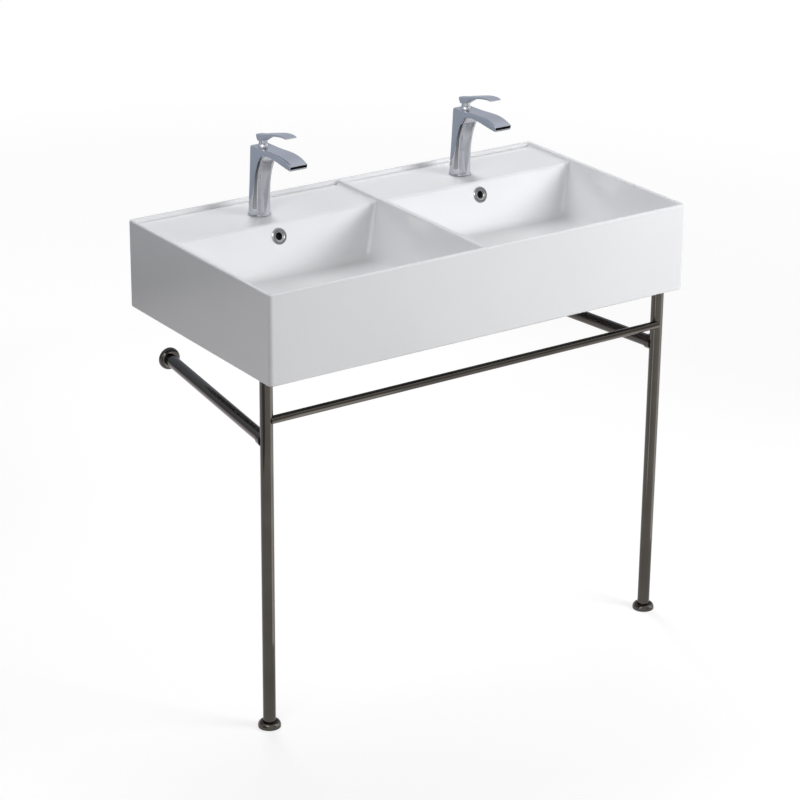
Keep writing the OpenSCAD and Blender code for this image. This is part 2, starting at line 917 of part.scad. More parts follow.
module lever(side) {
  color("silver")
    at_tap(side)
      difference() {
        union() {
          lever_leaf();
          translate([0, -cartridge_y, tap_h])
            cylinder(d = neck_d, h = 21);
        }
        translate([0, -cartridge_y, pivot_z])
          sphere(r = dome_r + near + 0.05);
        translate([0, -cartridge_y, 0])
          cylinder(r = stem_d / 2 + slip, h = tap_h + 20);
        translate([0, -cartridge_y + neck_d, tap_h + 13])
          rotate([90, 0, 0])
            cylinder(r = grub_d / 2 + slip, h = neck_d);
      }
}

module grub_screw(side) {
  color("dimgray")
    at_cartridge(side)
      translate([0, neck_d / 2 + 1, tap_h + 13])
        rotate([90, 0, 0])
          difference() {
            cylinder(d = grub_d, h = neck_d / 2 + 1 - stem_d / 2 - slip);
            translate([0, 0, -cut])
              cylinder(d = grub_d / 2, h = 2 + cut, $fn = 6);
          }
}

module aerator(side) {
  top = tap_h - 7;
  low = underside_z - 2.5;
  color("silver")
    at_tap(side)
      translate([0, -aerator_y, 0])
        difference() {
          translate([0, 0, low])
            cylinder(d = aerator_d, h = top - low);
          translate([0, 0, low + 3])
            cylinder(d = aerator_d - 3, h = top);
          translate([0, 0, low - cut])
            cylinder(d = 2, h = 6);
          for (a = [0 : 60 : 300])
            rotate(a)
              translate([aerator_d / 2 - 4, 0, low - cut])
                cylinder(d = 2.4, h = 6);
        }
}

module tap_studs() {
  below = deck_t + rubber_t + horseshoe_t + tap_nut_t + stud_tail;
  color("gray")
    for (side = [-1, 1])
      at_tap(side)
        translate([0, -stud_y, -below])
          cylinder(d = stud_d, h = below + tap_foot + stud_grip);
}

module horseshoe(z, t, d) {
  translate([0, 0, z])
    difference() {
      cylinder(d = d, h = t);
      translate([0, -stud_y, -cut])
        cylinder(r = stud_d / 2 + slip, h = t + 2 * cut);
      translate([-horseshoe_slot_w / 2, -d, -cut])
        cube([horseshoe_slot_w, d + 2, t + 2 * cut]);
    }
}

module tap_horseshoe_rubbers() {
  color("black")
    for (side = [-1, 1])
      at_tap(side)
        horseshoe(-deck_t - rubber_t, rubber_t, horseshoe_d);
}

module tap_horseshoes() {
  color("gray")
    for (side = [-1, 1])
      at_tap(side)
        horseshoe(-deck_t - rubber_t - horseshoe_t, horseshoe_t, horseshoe_d - 4);
}

module tap_nuts() {
  color("goldenrod")
    for (side = [-1, 1])
      at_tap(side)
        translate([0, -stud_y, -deck_t - rubber_t - horseshoe_t - tap_nut_t])
          difference() {
            cylinder(d = stud_d * 1.7, h = tap_nut_t, $fn = 6);
            translate([0, 0, -cut])
              cylinder(r = stud_d / 2 + slip, h = tap_nut_t + 2 * cut);
          }
}

// Stand

// Room of a leg, which the rails and the towel bar are coped around
module leg_space(side) {
  at_leg(side)
    translate([0, 0, floor_z])
      cylinder(r = tube_d / 2 + slip, h = rim_height);
}

// Frame along a side rail: Z runs from the leg's middle to the wall
module along_rail(side) {
  translate([side * leg_x, -leg_y, rail_z])
    rotate([0, 0, side * toe_in])
      rotate([-90, 0, 0])
        children();
}

// Hollow domed flange that stands on z = 0
module dome_form() {
  r = dome_d / 2;
  skirt = 3;
  crown = dome_h - skirt;
  rotate_extrude()
    polygon(concat(
      [[0, dome_h - dome_t], [0, dome_h]],
      arc(r - crown * dome_roll, skirt, crown * dome_roll, crown, 90, 0, 8),
      [[r, 0], [r - dome_t, 0]],
      arc(r - crown * dome_roll, skirt, crown * dome_roll - dome_t, crown - dome_t, 0, 90, 8)
    ));
}

module leg(side) {
  color("dimgray")
    at_leg(side)
      washer(tube_d / 2 - tube_t, tube_d / 2, leg_foot_z, leg_top_z - leg_foot_z);
}

module side_rail(side) {
  color("dimgray")
    difference() {
      along_rail(side)
        washer(tube_d / 2 - tube_t, tube_d / 2, 0, rail_len + tube_d);
      leg_space(side);
      translate([-basin_w / 2, -plate_t, rail_z - tube_d])
        cube([basin_w, 3 * tube_d, 2 * tube_d]);
    }
}

module rail_collars() {
  color("gray")
    for (side = [-1, 1])
      difference() {
        along_rail(side)
          washer(tube_d / 2 + slip, tube_d / 2 + collar_t, collar_start, tube_d / 2 + collar_len - collar_start);
        leg_space(side);
      }
}

// Tube with eased closed ends, coped into the front of both legs
module towel_bar() {
  half = leg_x - 2.5;
  r = bar_d / 2;
  color("dimgray")
    difference() {
      translate([0, -leg_y - bar_offset, bar_z])
        rotate([0, 90, 0])
          rotate_extrude()
            polygon([
              [0, -half], [r - bar_ease, -half], [r, -half + bar_ease], [r, half - bar_ease],
              [r - bar_ease, half], [0, half], [0, half - bar_ease], [r - bar_t, half - bar_ease],
              [r - bar_t, -half + bar_ease], [0, -half + bar_ease]
            ]);
      for (side = [-1, 1])
        leg_space(side);
    }
}

module foot_domes() {
  color("silver")
    for (side = [-1, 1])
      at_leg(side)
        translate([0, 0, floor_z])
          difference() {
            dome_form();
            translate([0, 0, -cut])
              cylinder(r = tube_d / 2 + slip, h = dome_h + 2 * cut);
          }
}

module foot_pads() {
  color("black")
    for (side = [-1, 1])
      at_leg(side)
        translate([0, 0, floor_z])
          cylinder(d = dome_d - 9, h = pad_t);
}

module foot_screws() {
  color("gray")
    for (side = [-1, 1])
      at_leg(side)
        translate([0, 0, floor_z + pad_t]) {
          cylinder(d = dome_d - 13, h = foot_disc_t);
          cylinder(d = foot_screw_d * 1.7, h = foot_disc_t + foot_hex_t, $fn = 6);
          cylinder(d = foot_screw_d, h = foot_disc_t + foot_hex_t + plug_len + 4);
        }
}

// Nylon plug for a tube's end, with its flange at z = 0 and its body upwards
module tube_plug() {
  difference() {
    union() {
      translate([0, 0, -plug_flange_t])
        cylinder(d = tube_d, h = plug_flange_t);
      cylinder(r = tube_d / 2 - tube_t - slip, h = plug_len);
    }
    translate([0, 0, -plug_flange_t - cut])
      cylinder(r = foot_screw_d / 2 + slip, h = plug_flange_t + plug_len + 2 * cut);
  }
}

module foot_plugs() {
  color("black")
    for (side = [-1, 1])
      at_leg(side)
        translate([0, 0, leg_foot_z])
          tube_plug();
}

module leg_top_plugs() {
  color("black")
    for (side = [-1, 1])
      at_leg(side)
        translate([0, 0, leg_top_z])
          rotate([180, 0, 0])
            tube_plug();
}

module leg_top_pads() {
  color("black")
    for (side = [-1, 1])
      at_leg(side)
        washer(foot_screw_d / 2 + slip, tube_d / 2, bottom_z - top_pad_t, top_pad_t);
}

module leg_top_studs() {
  color("gray")
    for (side = [-1, 1])
      at_leg(side)
        translate([0, 0, leg_top_z - plug_len])
          cylinder(d = foot_screw_d, h = bottom_z + top_stud_out - leg_top_z + plug_len);
}

module leg_inserts() {
  color("gainsboro")
    for (side = [-1, 1])
      at_leg(side)
        washer(foot_screw_d / 2 + slip, insert_d / 2 - slip, bottom_z, insert_len);
}

module wall_domes() {
  color("silver")
    for (side = [-1, 1])
      difference() {
        translate([side * rail_wall_x, 0, rail_z])
          rotate([90, 0, 0])
            dome_form();
        along_rail(side)
          cylinder(r = tube_d / 2 + flange_play, h = rail_len + tube_d);
      }
}

// Fixing plate with a spigot that holds the side rail's end
module wall_plates() {
  color("gray")
    for (side = [-1, 1])
      difference() {
        union() {
          translate([side * rail_wall_x, 0, rail_z])
            rotate([90, 0, 0])
              cylinder(d = plate_d, h = plate_t);
          difference() {
            along_rail(side)
              translate([0, 0, rail_len - plate_t - spigot_len])
                cylinder(r = tube_d / 2 - tube_t - slip, h = spigot_len + 2 * plate_t);
            translate([-basin_w / 2, -plate_t / 2, rail_z - tube_d])
              cube([basin_w, 3 * tube_d, 2 * tube_d]);
          }
        }
        translate([side * rail_wall_x, 0, rail_z])
          rotate([90, 0, 0])
            for (i = [0 : plate_screws - 1])
              rotate(90 + i * 360 / plate_screws)
                translate([plate_screw_r, 0, -cut])
                  cylinder(d = plate_screw_d, h = plate_t + 2 * cut);
      }
}

basin();
wall_sleeves();
overflow_ring(-1);  // overflow_ring_left
overflow_ring(1);  // overflow_ring_right
waste_body(-1);  // waste_body_left
waste_body(1);  // waste_body_right
waste_core(-1);  // waste_core_left
waste_core(1);  // waste_core_right
waste_plug(-1);  // waste_plug_left
waste_plug(1);  // waste_plug_right
plug_seal(-1);  // plug_seal_left
plug_seal(1);  // plug_seal_right
waste_top_gaskets();
waste_low_gaskets();
waste_lock_nuts();
tailpiece(-1);  // tailpiece_left
tailpiece(1);  // tailpiece_right
tap_body(-1);  // tap_body_left
tap_body(1);  // tap_body_right
tap_base_rings();
tap_base_gaskets();
cartridge(-1);  // cartridge_left
cartridge(1);  // cartridge_right
carrier(-1);  // carrier_left
carrier(1);  // carrier_right
pivot_pin(-1);  // pivot_pin_left
pivot_pin(1);  // pivot_pin_right
lever_stem(-1);  // lever_stem_left
lever_stem(1);  // lever_stem_right
dome_nut(-1);  // dome_nut_left
dome_nut(1);  // dome_nut_right
lever(-1);  // lever_left
lever(1);  // lever_right
grub_screw(-1);  // grub_screw_left
grub_screw(1);  // grub_screw_right
aerator(-1);  // aerator_left
aerator(1);  // aerator_right
tap_studs();
tap_horseshoe_rubbers();
tap_horseshoes();
tap_nuts();
leg(-1);  // leg_left
leg(1);  // leg_right
side_rail(-1);  // side_rail_left
side_rail(1);  // side_rail_right
rail_collars();
towel_bar();
foot_domes();
foot_plugs();
foot_screws();
foot_pads();
leg_top_plugs();
leg_top_studs();
leg_top_pads();
leg_inserts();
wall_domes();
wall_plates();
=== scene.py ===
"""Double ceramic basin on two front legs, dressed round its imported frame.

Each operator makes one group of pieces in millimetres, in the frame's own axes, and settled()
brings them to metres and hangs them on their bodies.
"""

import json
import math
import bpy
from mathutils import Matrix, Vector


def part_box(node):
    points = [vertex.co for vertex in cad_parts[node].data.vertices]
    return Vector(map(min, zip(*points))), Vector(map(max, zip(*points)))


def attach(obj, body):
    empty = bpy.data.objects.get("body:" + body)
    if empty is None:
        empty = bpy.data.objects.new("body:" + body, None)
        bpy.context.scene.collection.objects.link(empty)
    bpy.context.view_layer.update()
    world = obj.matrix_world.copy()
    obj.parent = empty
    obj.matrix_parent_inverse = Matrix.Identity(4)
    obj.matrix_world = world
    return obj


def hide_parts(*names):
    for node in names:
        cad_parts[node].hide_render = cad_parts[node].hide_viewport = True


bl_info = {
    "name": "Double console basin",
    "version": (1, 0, 0),
    "blender": (4, 5, 0),
    "location": "3D View > Sidebar > Basin",
    "description": "Glaze, chrome, taps, wastes and stand of a double basin on two front legs",
    "category": "Object",
}

import bmesh
import bpy
from mathutils import Matrix, Vector

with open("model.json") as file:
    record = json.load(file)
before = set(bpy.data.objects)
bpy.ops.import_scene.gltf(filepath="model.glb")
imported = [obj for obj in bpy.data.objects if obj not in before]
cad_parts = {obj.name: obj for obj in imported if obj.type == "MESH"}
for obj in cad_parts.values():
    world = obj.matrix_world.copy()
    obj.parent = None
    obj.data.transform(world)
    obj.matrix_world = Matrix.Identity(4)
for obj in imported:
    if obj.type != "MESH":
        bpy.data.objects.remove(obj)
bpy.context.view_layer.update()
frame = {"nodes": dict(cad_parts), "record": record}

MM = 0.001
SIDES = {-1: "left", 1: "right"}
STAND = "basin_and_stand"
TINY = 1e-4

# Flat sides of a turned piece, and of the tubes and what fits round them
ROUND = 96
TUBE_ROUND = 128


def frame_box(name):
    """Lowest and highest corner of a frame node, in millimetres."""
    low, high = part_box(name)
    return low / MM, high / MM


# Places that the frame gives, in millimetres
basin_low, basin_high = frame_box("basin")
WIDTH = basin_high.x - basin_low.x
DEPTH = -basin_low.y
RIM = basin_high.z
BOTTOM = basin_low.z
gasket_low, gasket_high = frame_box("tap_base_gaskets")
DECK = gasket_low.z
TAP_Y = (gasket_low.y + gasket_high.y) / 2
flange_low, flange_high = frame_box("waste_body_right")
BOWL_X = (flange_low.x + flange_high.x) / 2
DRAIN_Y = (flange_low.y + flange_high.y) / 2
FLANGE_TOP = flange_high.z
TUBE_END = flange_low.z
leg_low, leg_high = frame_box("leg_right")
LEG_X = (leg_low.x + leg_high.x) / 2
LEG_Y = (leg_low.y + leg_high.y) / 2
TUBE_R = (leg_high.x - leg_low.x) / 2
FLOOR = frame_box("foot_pads")[0].z
collar_low, collar_high = frame_box("rail_collars")
RAIL_Z = (collar_low.z + collar_high.z) / 2
bar_low, bar_high = frame_box("towel_bar")
BAR_Z = (bar_low.z + bar_high.z) / 2
BAR_R = (bar_high.z - bar_low.z) / 2
plate_low, plate_high = frame_box("wall_plates")
RAIL_WALL_X = plate_high.x - (plate_high.z - plate_low.z) / 2

# Levels, leans and thicknesses of the ceramic
RIM_WALL = 9
DIVIDER = 11
CREASE = 151
DECK_T = 12
BOWL_FLOOR = RIM - 104
SIDE_LEAN, BACK_LEAN, FRONT_LEAN = 0.42, 0.35, 0.3
SHELL = 10
APRON = 11
OUTER_ROUND = 9
EDGE_ROUND = 3.5
DISH_FALL = 6
DISH_R = 125

# Seats, holes and ways in the ceramic
FLANGE_R = 32
RECESS_R = FLANGE_R + 1.5
RECESS = 3.5
SEAT = BOWL_FLOOR - DISH_FALL - RECESS
BOSS = BOTTOM + 22
DRAIN_HOLE_R = 23
DUCT_LOW = SEAT - 26
DUCT_T = 12
DUCT_W = 24
DUCT_WALL = 10
OVERFLOW_Z = RIM - 34
OVERFLOW_R = 11
TAP_HOLE_R = 17.5
BOLT_X = 140
BOLT_R = 8

# Waste tube, and the height where its lock nut meets the gasket
WASTE_R = 21
WASTE_BORE = 16.6
NUT_TOP = BOSS - 4

# Distances of the tap's parts from its axis, forward and back, and its heights above the deck
CARTRIDGE = 17
AERATOR = 130
SPOUT = 145
STUD_BACK = 10
TAP_H = 143
PIVOT = TAP_H - 2

# Wall of the tubes, and the side rails' length from the leg to the wall and past it
TUBE_WALL = 1.5
RAIL_LEN = math.hypot(LEG_X - RAIL_WALL_X, LEG_Y)
RAIL_REACH = RAIL_LEN + 25


# Settings, with what colours and lamps share

COLOUR = {"size": 3, "min": 0, "max": 1, "subtype": "COLOR"}
POWER = {"min": 0, "max": 200, "unit": "POWER"}


class BasinSizes(bpy.types.PropertyGroup):
    """Roundings and thicknesses of the ceramic."""

    rim_width: bpy.props.FloatProperty(
        name="Rim width", description="Width of the raised rim round both bowls",
        default=0.009, min=0.008, max=0.014, unit="LENGTH",
    )
    rim_ease: bpy.props.FloatProperty(
        name="Rim easing", description="Rounding of the rim's inner edge",
        default=0.003, min=0.001, max=0.004, unit="LENGTH",
    )
    crease_round: bpy.props.FloatProperty(
        name="Crease rounding", description="Rounding of the edge between tap deck and bowl",
        default=0.0055, min=0.003, max=0.008, unit="LENGTH",
    )
    corner_round: bpy.props.FloatProperty(
        name="Bowl corner rounding", description="Rounding of a bowl's upright corners",
        default=0.008, min=0.005, max=0.012, unit="LENGTH",
    )
    floor_round: bpy.props.FloatProperty(
        name="Bowl floor rounding", description="Rounding between a bowl's walls and floor",
        default=0.012, min=0.008, max=0.016, unit="LENGTH",
    )


class TapSizes(bpy.types.PropertyGroup):
    """Finer shapes of the taps."""

    lip_inset: bpy.props.FloatProperty(
        name="Lip frame", description="Metal left round the dark slot in a spout's end",
        default=0.0012, min=0.0008, max=0.002, unit="LENGTH",
    )
    lip_depth: bpy.props.FloatProperty(
        name="Lip depth", description="Depth of the slot in a spout's end",
        default=0.005, min=0.002, max=0.009, unit="LENGTH",
    )
    sprays: bpy.props.IntProperty(
        name="Spray holes", description="Holes in the outer ring of an aerator", default=12, min=6, max=18
    )


class Finishes(bpy.types.PropertyGroup):
    """Colours of the finishes."""

    glaze: bpy.props.FloatVectorProperty(
        name="Glaze", description="White of the fired glaze", default=(0.84, 0.845, 0.86), **COLOUR
    )
    chrome: bpy.props.FloatVectorProperty(
        name="Tap chrome", description="Tint of the taps and wastes", default=(0.56, 0.575, 0.61), **COLOUR
    )
    overflow: bpy.props.FloatVectorProperty(
        name="Overflow chrome", description="Tint of the overflow rings", default=(0.4, 0.41, 0.42), **COLOUR
    )
    dark_chrome: bpy.props.FloatVectorProperty(
        name="Stand chrome", description="Tint of the legs and rails", default=(0.085, 0.078, 0.07), **COLOUR
    )
    brass: bpy.props.FloatVectorProperty(
        name="Brass", description="Lock nuts and tap nuts", default=(0.62, 0.44, 0.18), **COLOUR
    )
    rubber: bpy.props.FloatVectorProperty(
        name="Rubber", description="Gaskets, seals and foot pads", default=(0.025, 0.025, 0.027), **COLOUR
    )


class Studio(bpy.types.PropertyGroup):
    """Light and floor round the basin."""

    back_power: bpy.props.FloatProperty(
        name="Back light", description="High lamp behind on the right", default=45, **POWER
    )
    key_power: bpy.props.FloatProperty(
        name="Key light", description="Low lamp in front on the right", default=42, **POWER
    )
    side_power: bpy.props.FloatProperty(
        name="Side light", description="Lamp on the left", default=17, **POWER
    )
    fill: bpy.props.FloatProperty(
        name="Fill", description="Strength of the light from all round", default=0.2, min=0, max=1
    )
    floor_tint: bpy.props.FloatVectorProperty(
        name="Floor", description="Colour of the studio floor", default=(0.4, 0.4, 0.4), **COLOUR
    )


# Hand tools, all in millimetres


def clear_selection():
    if bpy.context.mode != "OBJECT":
        bpy.ops.object.mode_set(mode="OBJECT")
    bpy.ops.object.select_all(action="DESELECT")


def only(piece):
    clear_selection()
    piece.select_set(True)
    bpy.context.view_layer.objects.active = piece


def editing(piece):
    only(piece)
    bpy.ops.object.mode_set(mode="EDIT")


def pick(piece, test, mode="FACE"):
    """Selects the faces or edges whose middle and direction pass the test."""
    bpy.ops.mesh.select_mode(type=mode)
    bpy.ops.mesh.select_all(action="DESELECT")
    mesh = bmesh.from_edit_mesh(piece.data)
    found = 0
    for part in mesh.faces if mode == "FACE" else mesh.edges:
        if mode == "FACE":
            middle, way = part.calc_center_median(), part.normal
        else:
            a, b = (corner.co for corner in part.verts)
            middle, way = (a + b) / 2, (b - a).normalized()
        if test(middle, way):
            part.select_set(True)
            found += 1
    bmesh.update_edit_mesh(piece.data)
    if not found:
        raise RuntimeError(f"nothing to pick on {piece.name}")


def edges_rounded(piece, test, width, segments):
    """Bevels the edges that pass the test, and stays in edit mode."""
    editing(piece)
    pick(piece, test, "EDGE")
    bpy.ops.mesh.bevel(
        offset=width, offset_type="OFFSET", segments=segments, affect="EDGES", clamp_overlap=False
    )


def added(name):
    piece = bpy.context.object
    piece.name = piece.data.name = name
    bpy.ops.object.transform_apply(location=True, rotation=True, scale=True)
    return piece


def plane(name, size=1, at=(0, 0, 0)):
    clear_selection()
    bpy.ops.mesh.primitive_plane_add(size=size, location=at)
    return added(name)


def block(name, low, high):
    clear_selection()
    low, high = Vector(low), Vector(high)
    bpy.ops.mesh.primitive_cube_add(size=1, location=(low + high) / 2, scale=high - low)
    return added(name)


def rod(name, radius, low, high, at=(0, 0), sides=ROUND):
    """Upright round bar."""
    clear_selection()
    bpy.ops.mesh.primitive_cylinder_add(
        vertices=sides, radius=radius, depth=high - low, location=(at[0], at[1], (low + high) / 2)
    )
    return added(name)


def tapered(name, low_z, low_box, high_z, high_box):
    """Block whose lower and upper faces are the boxes (x0, x1, y0, y1)."""
    x0, x1, y0, y1 = high_box
    a0, a1, b0, b1 = low_box
    piece = block(name, (x0, y0, low_z), (x1, y1, high_z))
    editing(piece)
    pick(piece, lambda c, n: n.z < -0.9)
    bpy.ops.transform.resize(
        value=((a1 - a0) / (x1 - x0), (b1 - b0) / (y1 - y0), 1),
        center_override=((x0 + x1) / 2, (y0 + y1) / 2, low_z),
    )
    bpy.ops.transform.translate(value=((a0 + a1 - x0 - x1) / 2, (b0 + b1 - y0 - y1) / 2, 0))
    bpy.ops.object.mode_set(mode="OBJECT")
    return piece


def line(name, points):
    """Row of edges through the points, grown from one corner by extrusion, its doubles merged."""
    piece = plane(name)
    bpy.ops.object.mode_set(mode="EDIT")
    bpy.ops.mesh.select_mode(type="VERT")
    bpy.ops.mesh.select_all(action="SELECT")
    bpy.ops.mesh.merge(type="CENTER")
    bpy.ops.transform.translate(value=points[0])
    for a, b in zip(points, points[1:]):
        bpy.ops.mesh.extrude_vertices_move(TRANSFORM_OT_translate={"value": Vector(b) - Vector(a)})
    bpy.ops.mesh.select_all(action="SELECT")
    bpy.ops.mesh.remove_doubles(threshold=TINY)
    return piece


def closed():
    """Points all faces outwards and leaves edit mode."""
    bpy.ops.mesh.select_all(action="SELECT")
    bpy.ops.mesh.normals_make_consistent(inside=False)
    bpy.ops.object.mode_set(mode="OBJECT")


def eased(points, steps=3):
    """Closed outline with the corners that carry a third number rounded by it."""
    found = []
    count = len(points)
    for i, point in enumerate(points):
        corner = Vector(point[:2])
        if len(point) < 3:
            found.append(corner)
            continue
        before = Vector(points[i - 1][:2]) - corner
        after = Vector(points[(i + 1) % count][:2]) - corner
        reach = point[2] / max(math.tan(before.angle(after) / 2), 0.05)
        reach = min(reach, 0.48 * before.length, 0.48 * after.length)
        a, b = corner + before.normalized() * reach, corner + after.normalized() * reach
        for k in range(steps + 1):
            t = k / steps
            found.append(a * (1 - t) ** 2 + corner * 2 * t * (1 - t) + b * t**2)
    return found


def arc(x, y, rx, ry, start, end, steps):
    turns = [math.radians(start + (end - start) * i / steps) for i in range(steps + 1)]
    return [(x + rx * math.cos(a), y + ry * math.sin(a)) for a in turns]


def turned(name, outline, sides=ROUND):
    """Piece turned round Z from an outline of (radius, height, rounding), closed or ending on the axis."""
    points = [Vector((p[0], 0, p[1])) for p in eased(outline)]
    if outline[0][0] > TINY or outline[-1][0] > TINY:
        points.append(points[0])
    piece = line(name, points)
    bpy.ops.mesh.spin(steps=sides, angle=math.tau, center=(0, 0, 0), axis=(0, 0, 1))
    bpy.ops.mesh.select_all(action="SELECT")
    bpy.ops.mesh.remove_doubles(threshold=TINY)
    closed()
    return piece


def prism(name, outline, way):
    """Outline of points in space, extruded along a vector."""
    points = [Vector(p) for p in outline]
    piece = line(name, points + points[:1])
    bpy.ops.mesh.select_all(action="SELECT")
    bpy.ops.mesh.edge_face_add()
    bpy.ops.mesh.extrude_region_move(TRANSFORM_OT_translate={"value": way})
    closed()
    return piece


def lofted(name, rings):
    """Closed skin over rings of equally many points."""
    skin = bmesh.new()
    loops = [[skin.verts.new(p) for p in ring] for ring in rings]
    for a, b in zip(loops, loops[1:]):
        for i in range(len(a)):
            j = (i + 1) % len(a)
            skin.faces.new((a[i], a[j], b[j], b[i]))
    skin.faces.new(list(reversed(loops[0])))
    skin.faces.new(loops[-1])
    bmesh.ops.recalc_face_normals(skin, faces=skin.faces)
    mesh = bpy.data.meshes.new(name)
    skin.to_mesh(mesh)
    skin.free()
    piece = bpy.data.objects.new(name, mesh)
    bpy.context.scene.collection.objects.link(piece)
    return piece


def finished(piece, kind, **values):
    """Adds a modifier with these values and applies it."""
    only(piece)
    modifier = piece.modifiers.new(kind.title(), kind)
    for key, value in values.items():
        setattr(modifier, key, value)
    bpy.ops.object.modifier_apply(modifier=modifier.name)


def carved(piece, *tools, way="DIFFERENCE"):
    for tool in tools:
        finished(piece, "BOOLEAN", operation=way, object=tool, solver="MANIFOLD")
        bpy.data.objects.remove(tool)
    return piece


def placed(piece, place):
    """Moves the mesh by a matrix or to a point, and leaves the object at the origin."""
    piece.data.transform(place if isinstance(place, Matrix) else Matrix.Translation(place))
    return piece


def tipped(at, angle=math.pi / 2, axis="X"):
    """Place at a point, turned about one axis: an upright piece lies along Y unless told otherwise."""
    return Matrix.Translation(at) @ Matrix.Rotation(angle, 4, axis)


def copied(piece, name, place):
    twin = piece.copy()
    twin.data = piece.data.copy()
    twin.name = twin.data.name = name
    bpy.context.scene.collection.objects.link(twin)
    return placed(twin, place)


def joined(name, *pieces):
    clear_selection()
    for piece in pieces:
        piece.select_set(True)
    bpy.context.view_layer.objects.active = pieces[0]
    bpy.ops.object.join()
    pieces[0].name = pieces[0].data.name = name
    return pieces[0]


def settled(piece, *nodes, slot="chrome", finishes=(), body=STAND, angle=32):
    """Brings a piece to metres, shades it, gives it its finishes and hangs it on its body."""
    piece.data.transform(Matrix.Scale(MM, 4))
    only(piece)
    bpy.ops.object.shade_smooth_by_angle(angle=math.radians(angle))
    finished(piece, "WEIGHTED_NORMAL", keep_sharp=True)
    materials = piece.data.materials
    for i, name in enumerate(finishes or (slot,)):
        if i < len(materials):
            materials[i] = finish[name]
        else:
            materials.append(finish[name])
    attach(piece, body)
    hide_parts(*nodes)


def each_side(place, *patterns, **looks):
    """Settles a copy of each pattern (shape, label, node and, if it moves, its body) on either side."""
    for side, name in SIDES.items():
        for shape, label, replaced, *moving in patterns:
            body = f"{moving[0]}_{name}" if moving else STAND
            settled(copied(shape, f"{label}_{name}", place(side)), f"{replaced}_{name}", body=body, **looks)
    for pattern in patterns:
        bpy.data.objects.remove(pattern[0])


def both_sides(place, shape, label, replaced, **looks):
    """Settles copies of a pattern on both sides as one piece."""
    settled(joined(label, *(copied(shape, label, place(side)) for side in SIDES)), replaced, **looks)
    bpy.data.objects.remove(shape)


def tap_place(side):
    return Matrix.Translation((side * BOWL_X, TAP_Y, DECK))


def waste_place(side):
    return Matrix.Translation((side * BOWL_X, DRAIN_Y, 0))


def leg_place(side, z=0):
    return Matrix.Translation((side * LEG_X, LEG_Y, z))


def foot_place(side):
    return leg_place(side, FLOOR)


# Finishes


def socket_group(name, inputs, outputs):
    """Empty shader node group with its named sockets, and its two end nodes."""
    group = bpy.data.node_groups.new(name, "ShaderNodeTree")
    for label, kind, value in inputs:
        group.interface.new_socket(name=label, in_out="INPUT", socket_type=kind).default_value = value
    for label, kind in outputs:
        group.interface.new_socket(name=label, in_out="OUTPUT", socket_type=kind)
    return group, group.nodes.new("NodeGroupInput"), group.nodes.new("NodeGroupOutput")


def feed(tree, socket, value):
    """Links a socket to another node's output, or gives it a plain value."""
    if isinstance(value, bpy.types.NodeSocket):
        tree.links.new(value, socket)
    else:
        socket.default_value = value


def fed(tree, made, *inputs, **values):
    """Gives a node its settings and inputs by name, and then its first inputs in their order."""
    for key, value in values.items():
        label = key.replace("_", " ")
        if label in made.inputs:
            feed(tree, made.inputs[label], value)
        else:
            setattr(made, key, value)
    for socket, value in zip(made.inputs, inputs):
        feed(tree, socket, value)
    return made


def node(tree, kind, *inputs, **values):
    return fed(tree, tree.nodes.new(kind), *inputs, **values)


def object_place(tree):
    return node(tree, "ShaderNodeTexCoord").outputs["Object"]


def math_node(tree, operation, *inputs, **values):
    return node(tree, "ShaderNodeMath", *inputs, operation=operation, **values).outputs[0]


def noise(tree, place, size, detail=2.0, roughness=0.5):
    """Noise whose marks are about 1 / size metres across."""
    made = node(tree, "ShaderNodeTexNoise", Vector=place, Scale=size, Detail=detail, Roughness=roughness)
    return made.outputs["Fac"]


def spread(tree, value, low, high, from_low=0.3, from_high=0.7):
    """Brings a mask to the span from low to high."""
    span = {"From_Min": from_low, "From_Max": from_high, "To_Min": low, "To_Max": high}
    return node(tree, "ShaderNodeMapRange", clamp=True, Value=value, **span).outputs["Result"]


def tone_drift_group():
    """Two close tones that drift into each other over the surface."""
    group, start, end = socket_group(
        "Tone drift",
        [
            ("Tone", "NodeSocketColor", (0.8, 0.8, 0.8, 1)),
            ("Other tone", "NodeSocketColor", (0.7, 0.7, 0.7, 1)),
            ("Patches per metre", "NodeSocketFloat", 8.0),
        ],
        [("Color", "NodeSocketColor")],
    )
    drift = noise(group, object_place(group), start.outputs["Patches per metre"], detail=3)
    mix = node(group, "ShaderNodeMix", spread(group, drift, 0.0, 1.0), data_type="RGBA")
    feed(group, mix.inputs[6], start.outputs["Tone"])
    feed(group, mix.inputs[7], start.outputs["Other tone"])
    fed(group, end, Color=mix.outputs[2])
    return group


def wipe_marks_group():
    """Faint smears and hairlines that handling leaves on polish."""
    group, start, end = socket_group(
        "Wipe marks",
        [
            ("Low", "NodeSocketFloat", 0.05),
            ("High", "NodeSocketFloat", 0.15),
            ("Smears per metre", "NodeSocketFloat", 14.0),
        ],
        [("Roughness", "NodeSocketFloat"), ("Height", "NodeSocketFloat")],
    )
    low, high, smears = start.outputs[:3]
    place = object_place(group)
    smear = noise(group, place, smears, detail=4, roughness=0.6)
    stretch = node(group, "ShaderNodeMapping", Vector=place, Scale=(1, 1, 0.08))
    hairs = noise(group, stretch.outputs["Vector"], 900, detail=2)
    both = math_node(group, "MULTIPLY_ADD", hairs, 0.25, smear)
    fed(group, end, Roughness=spread(group, both, low, high, 0.45, 0.85), Height=both)
    return group


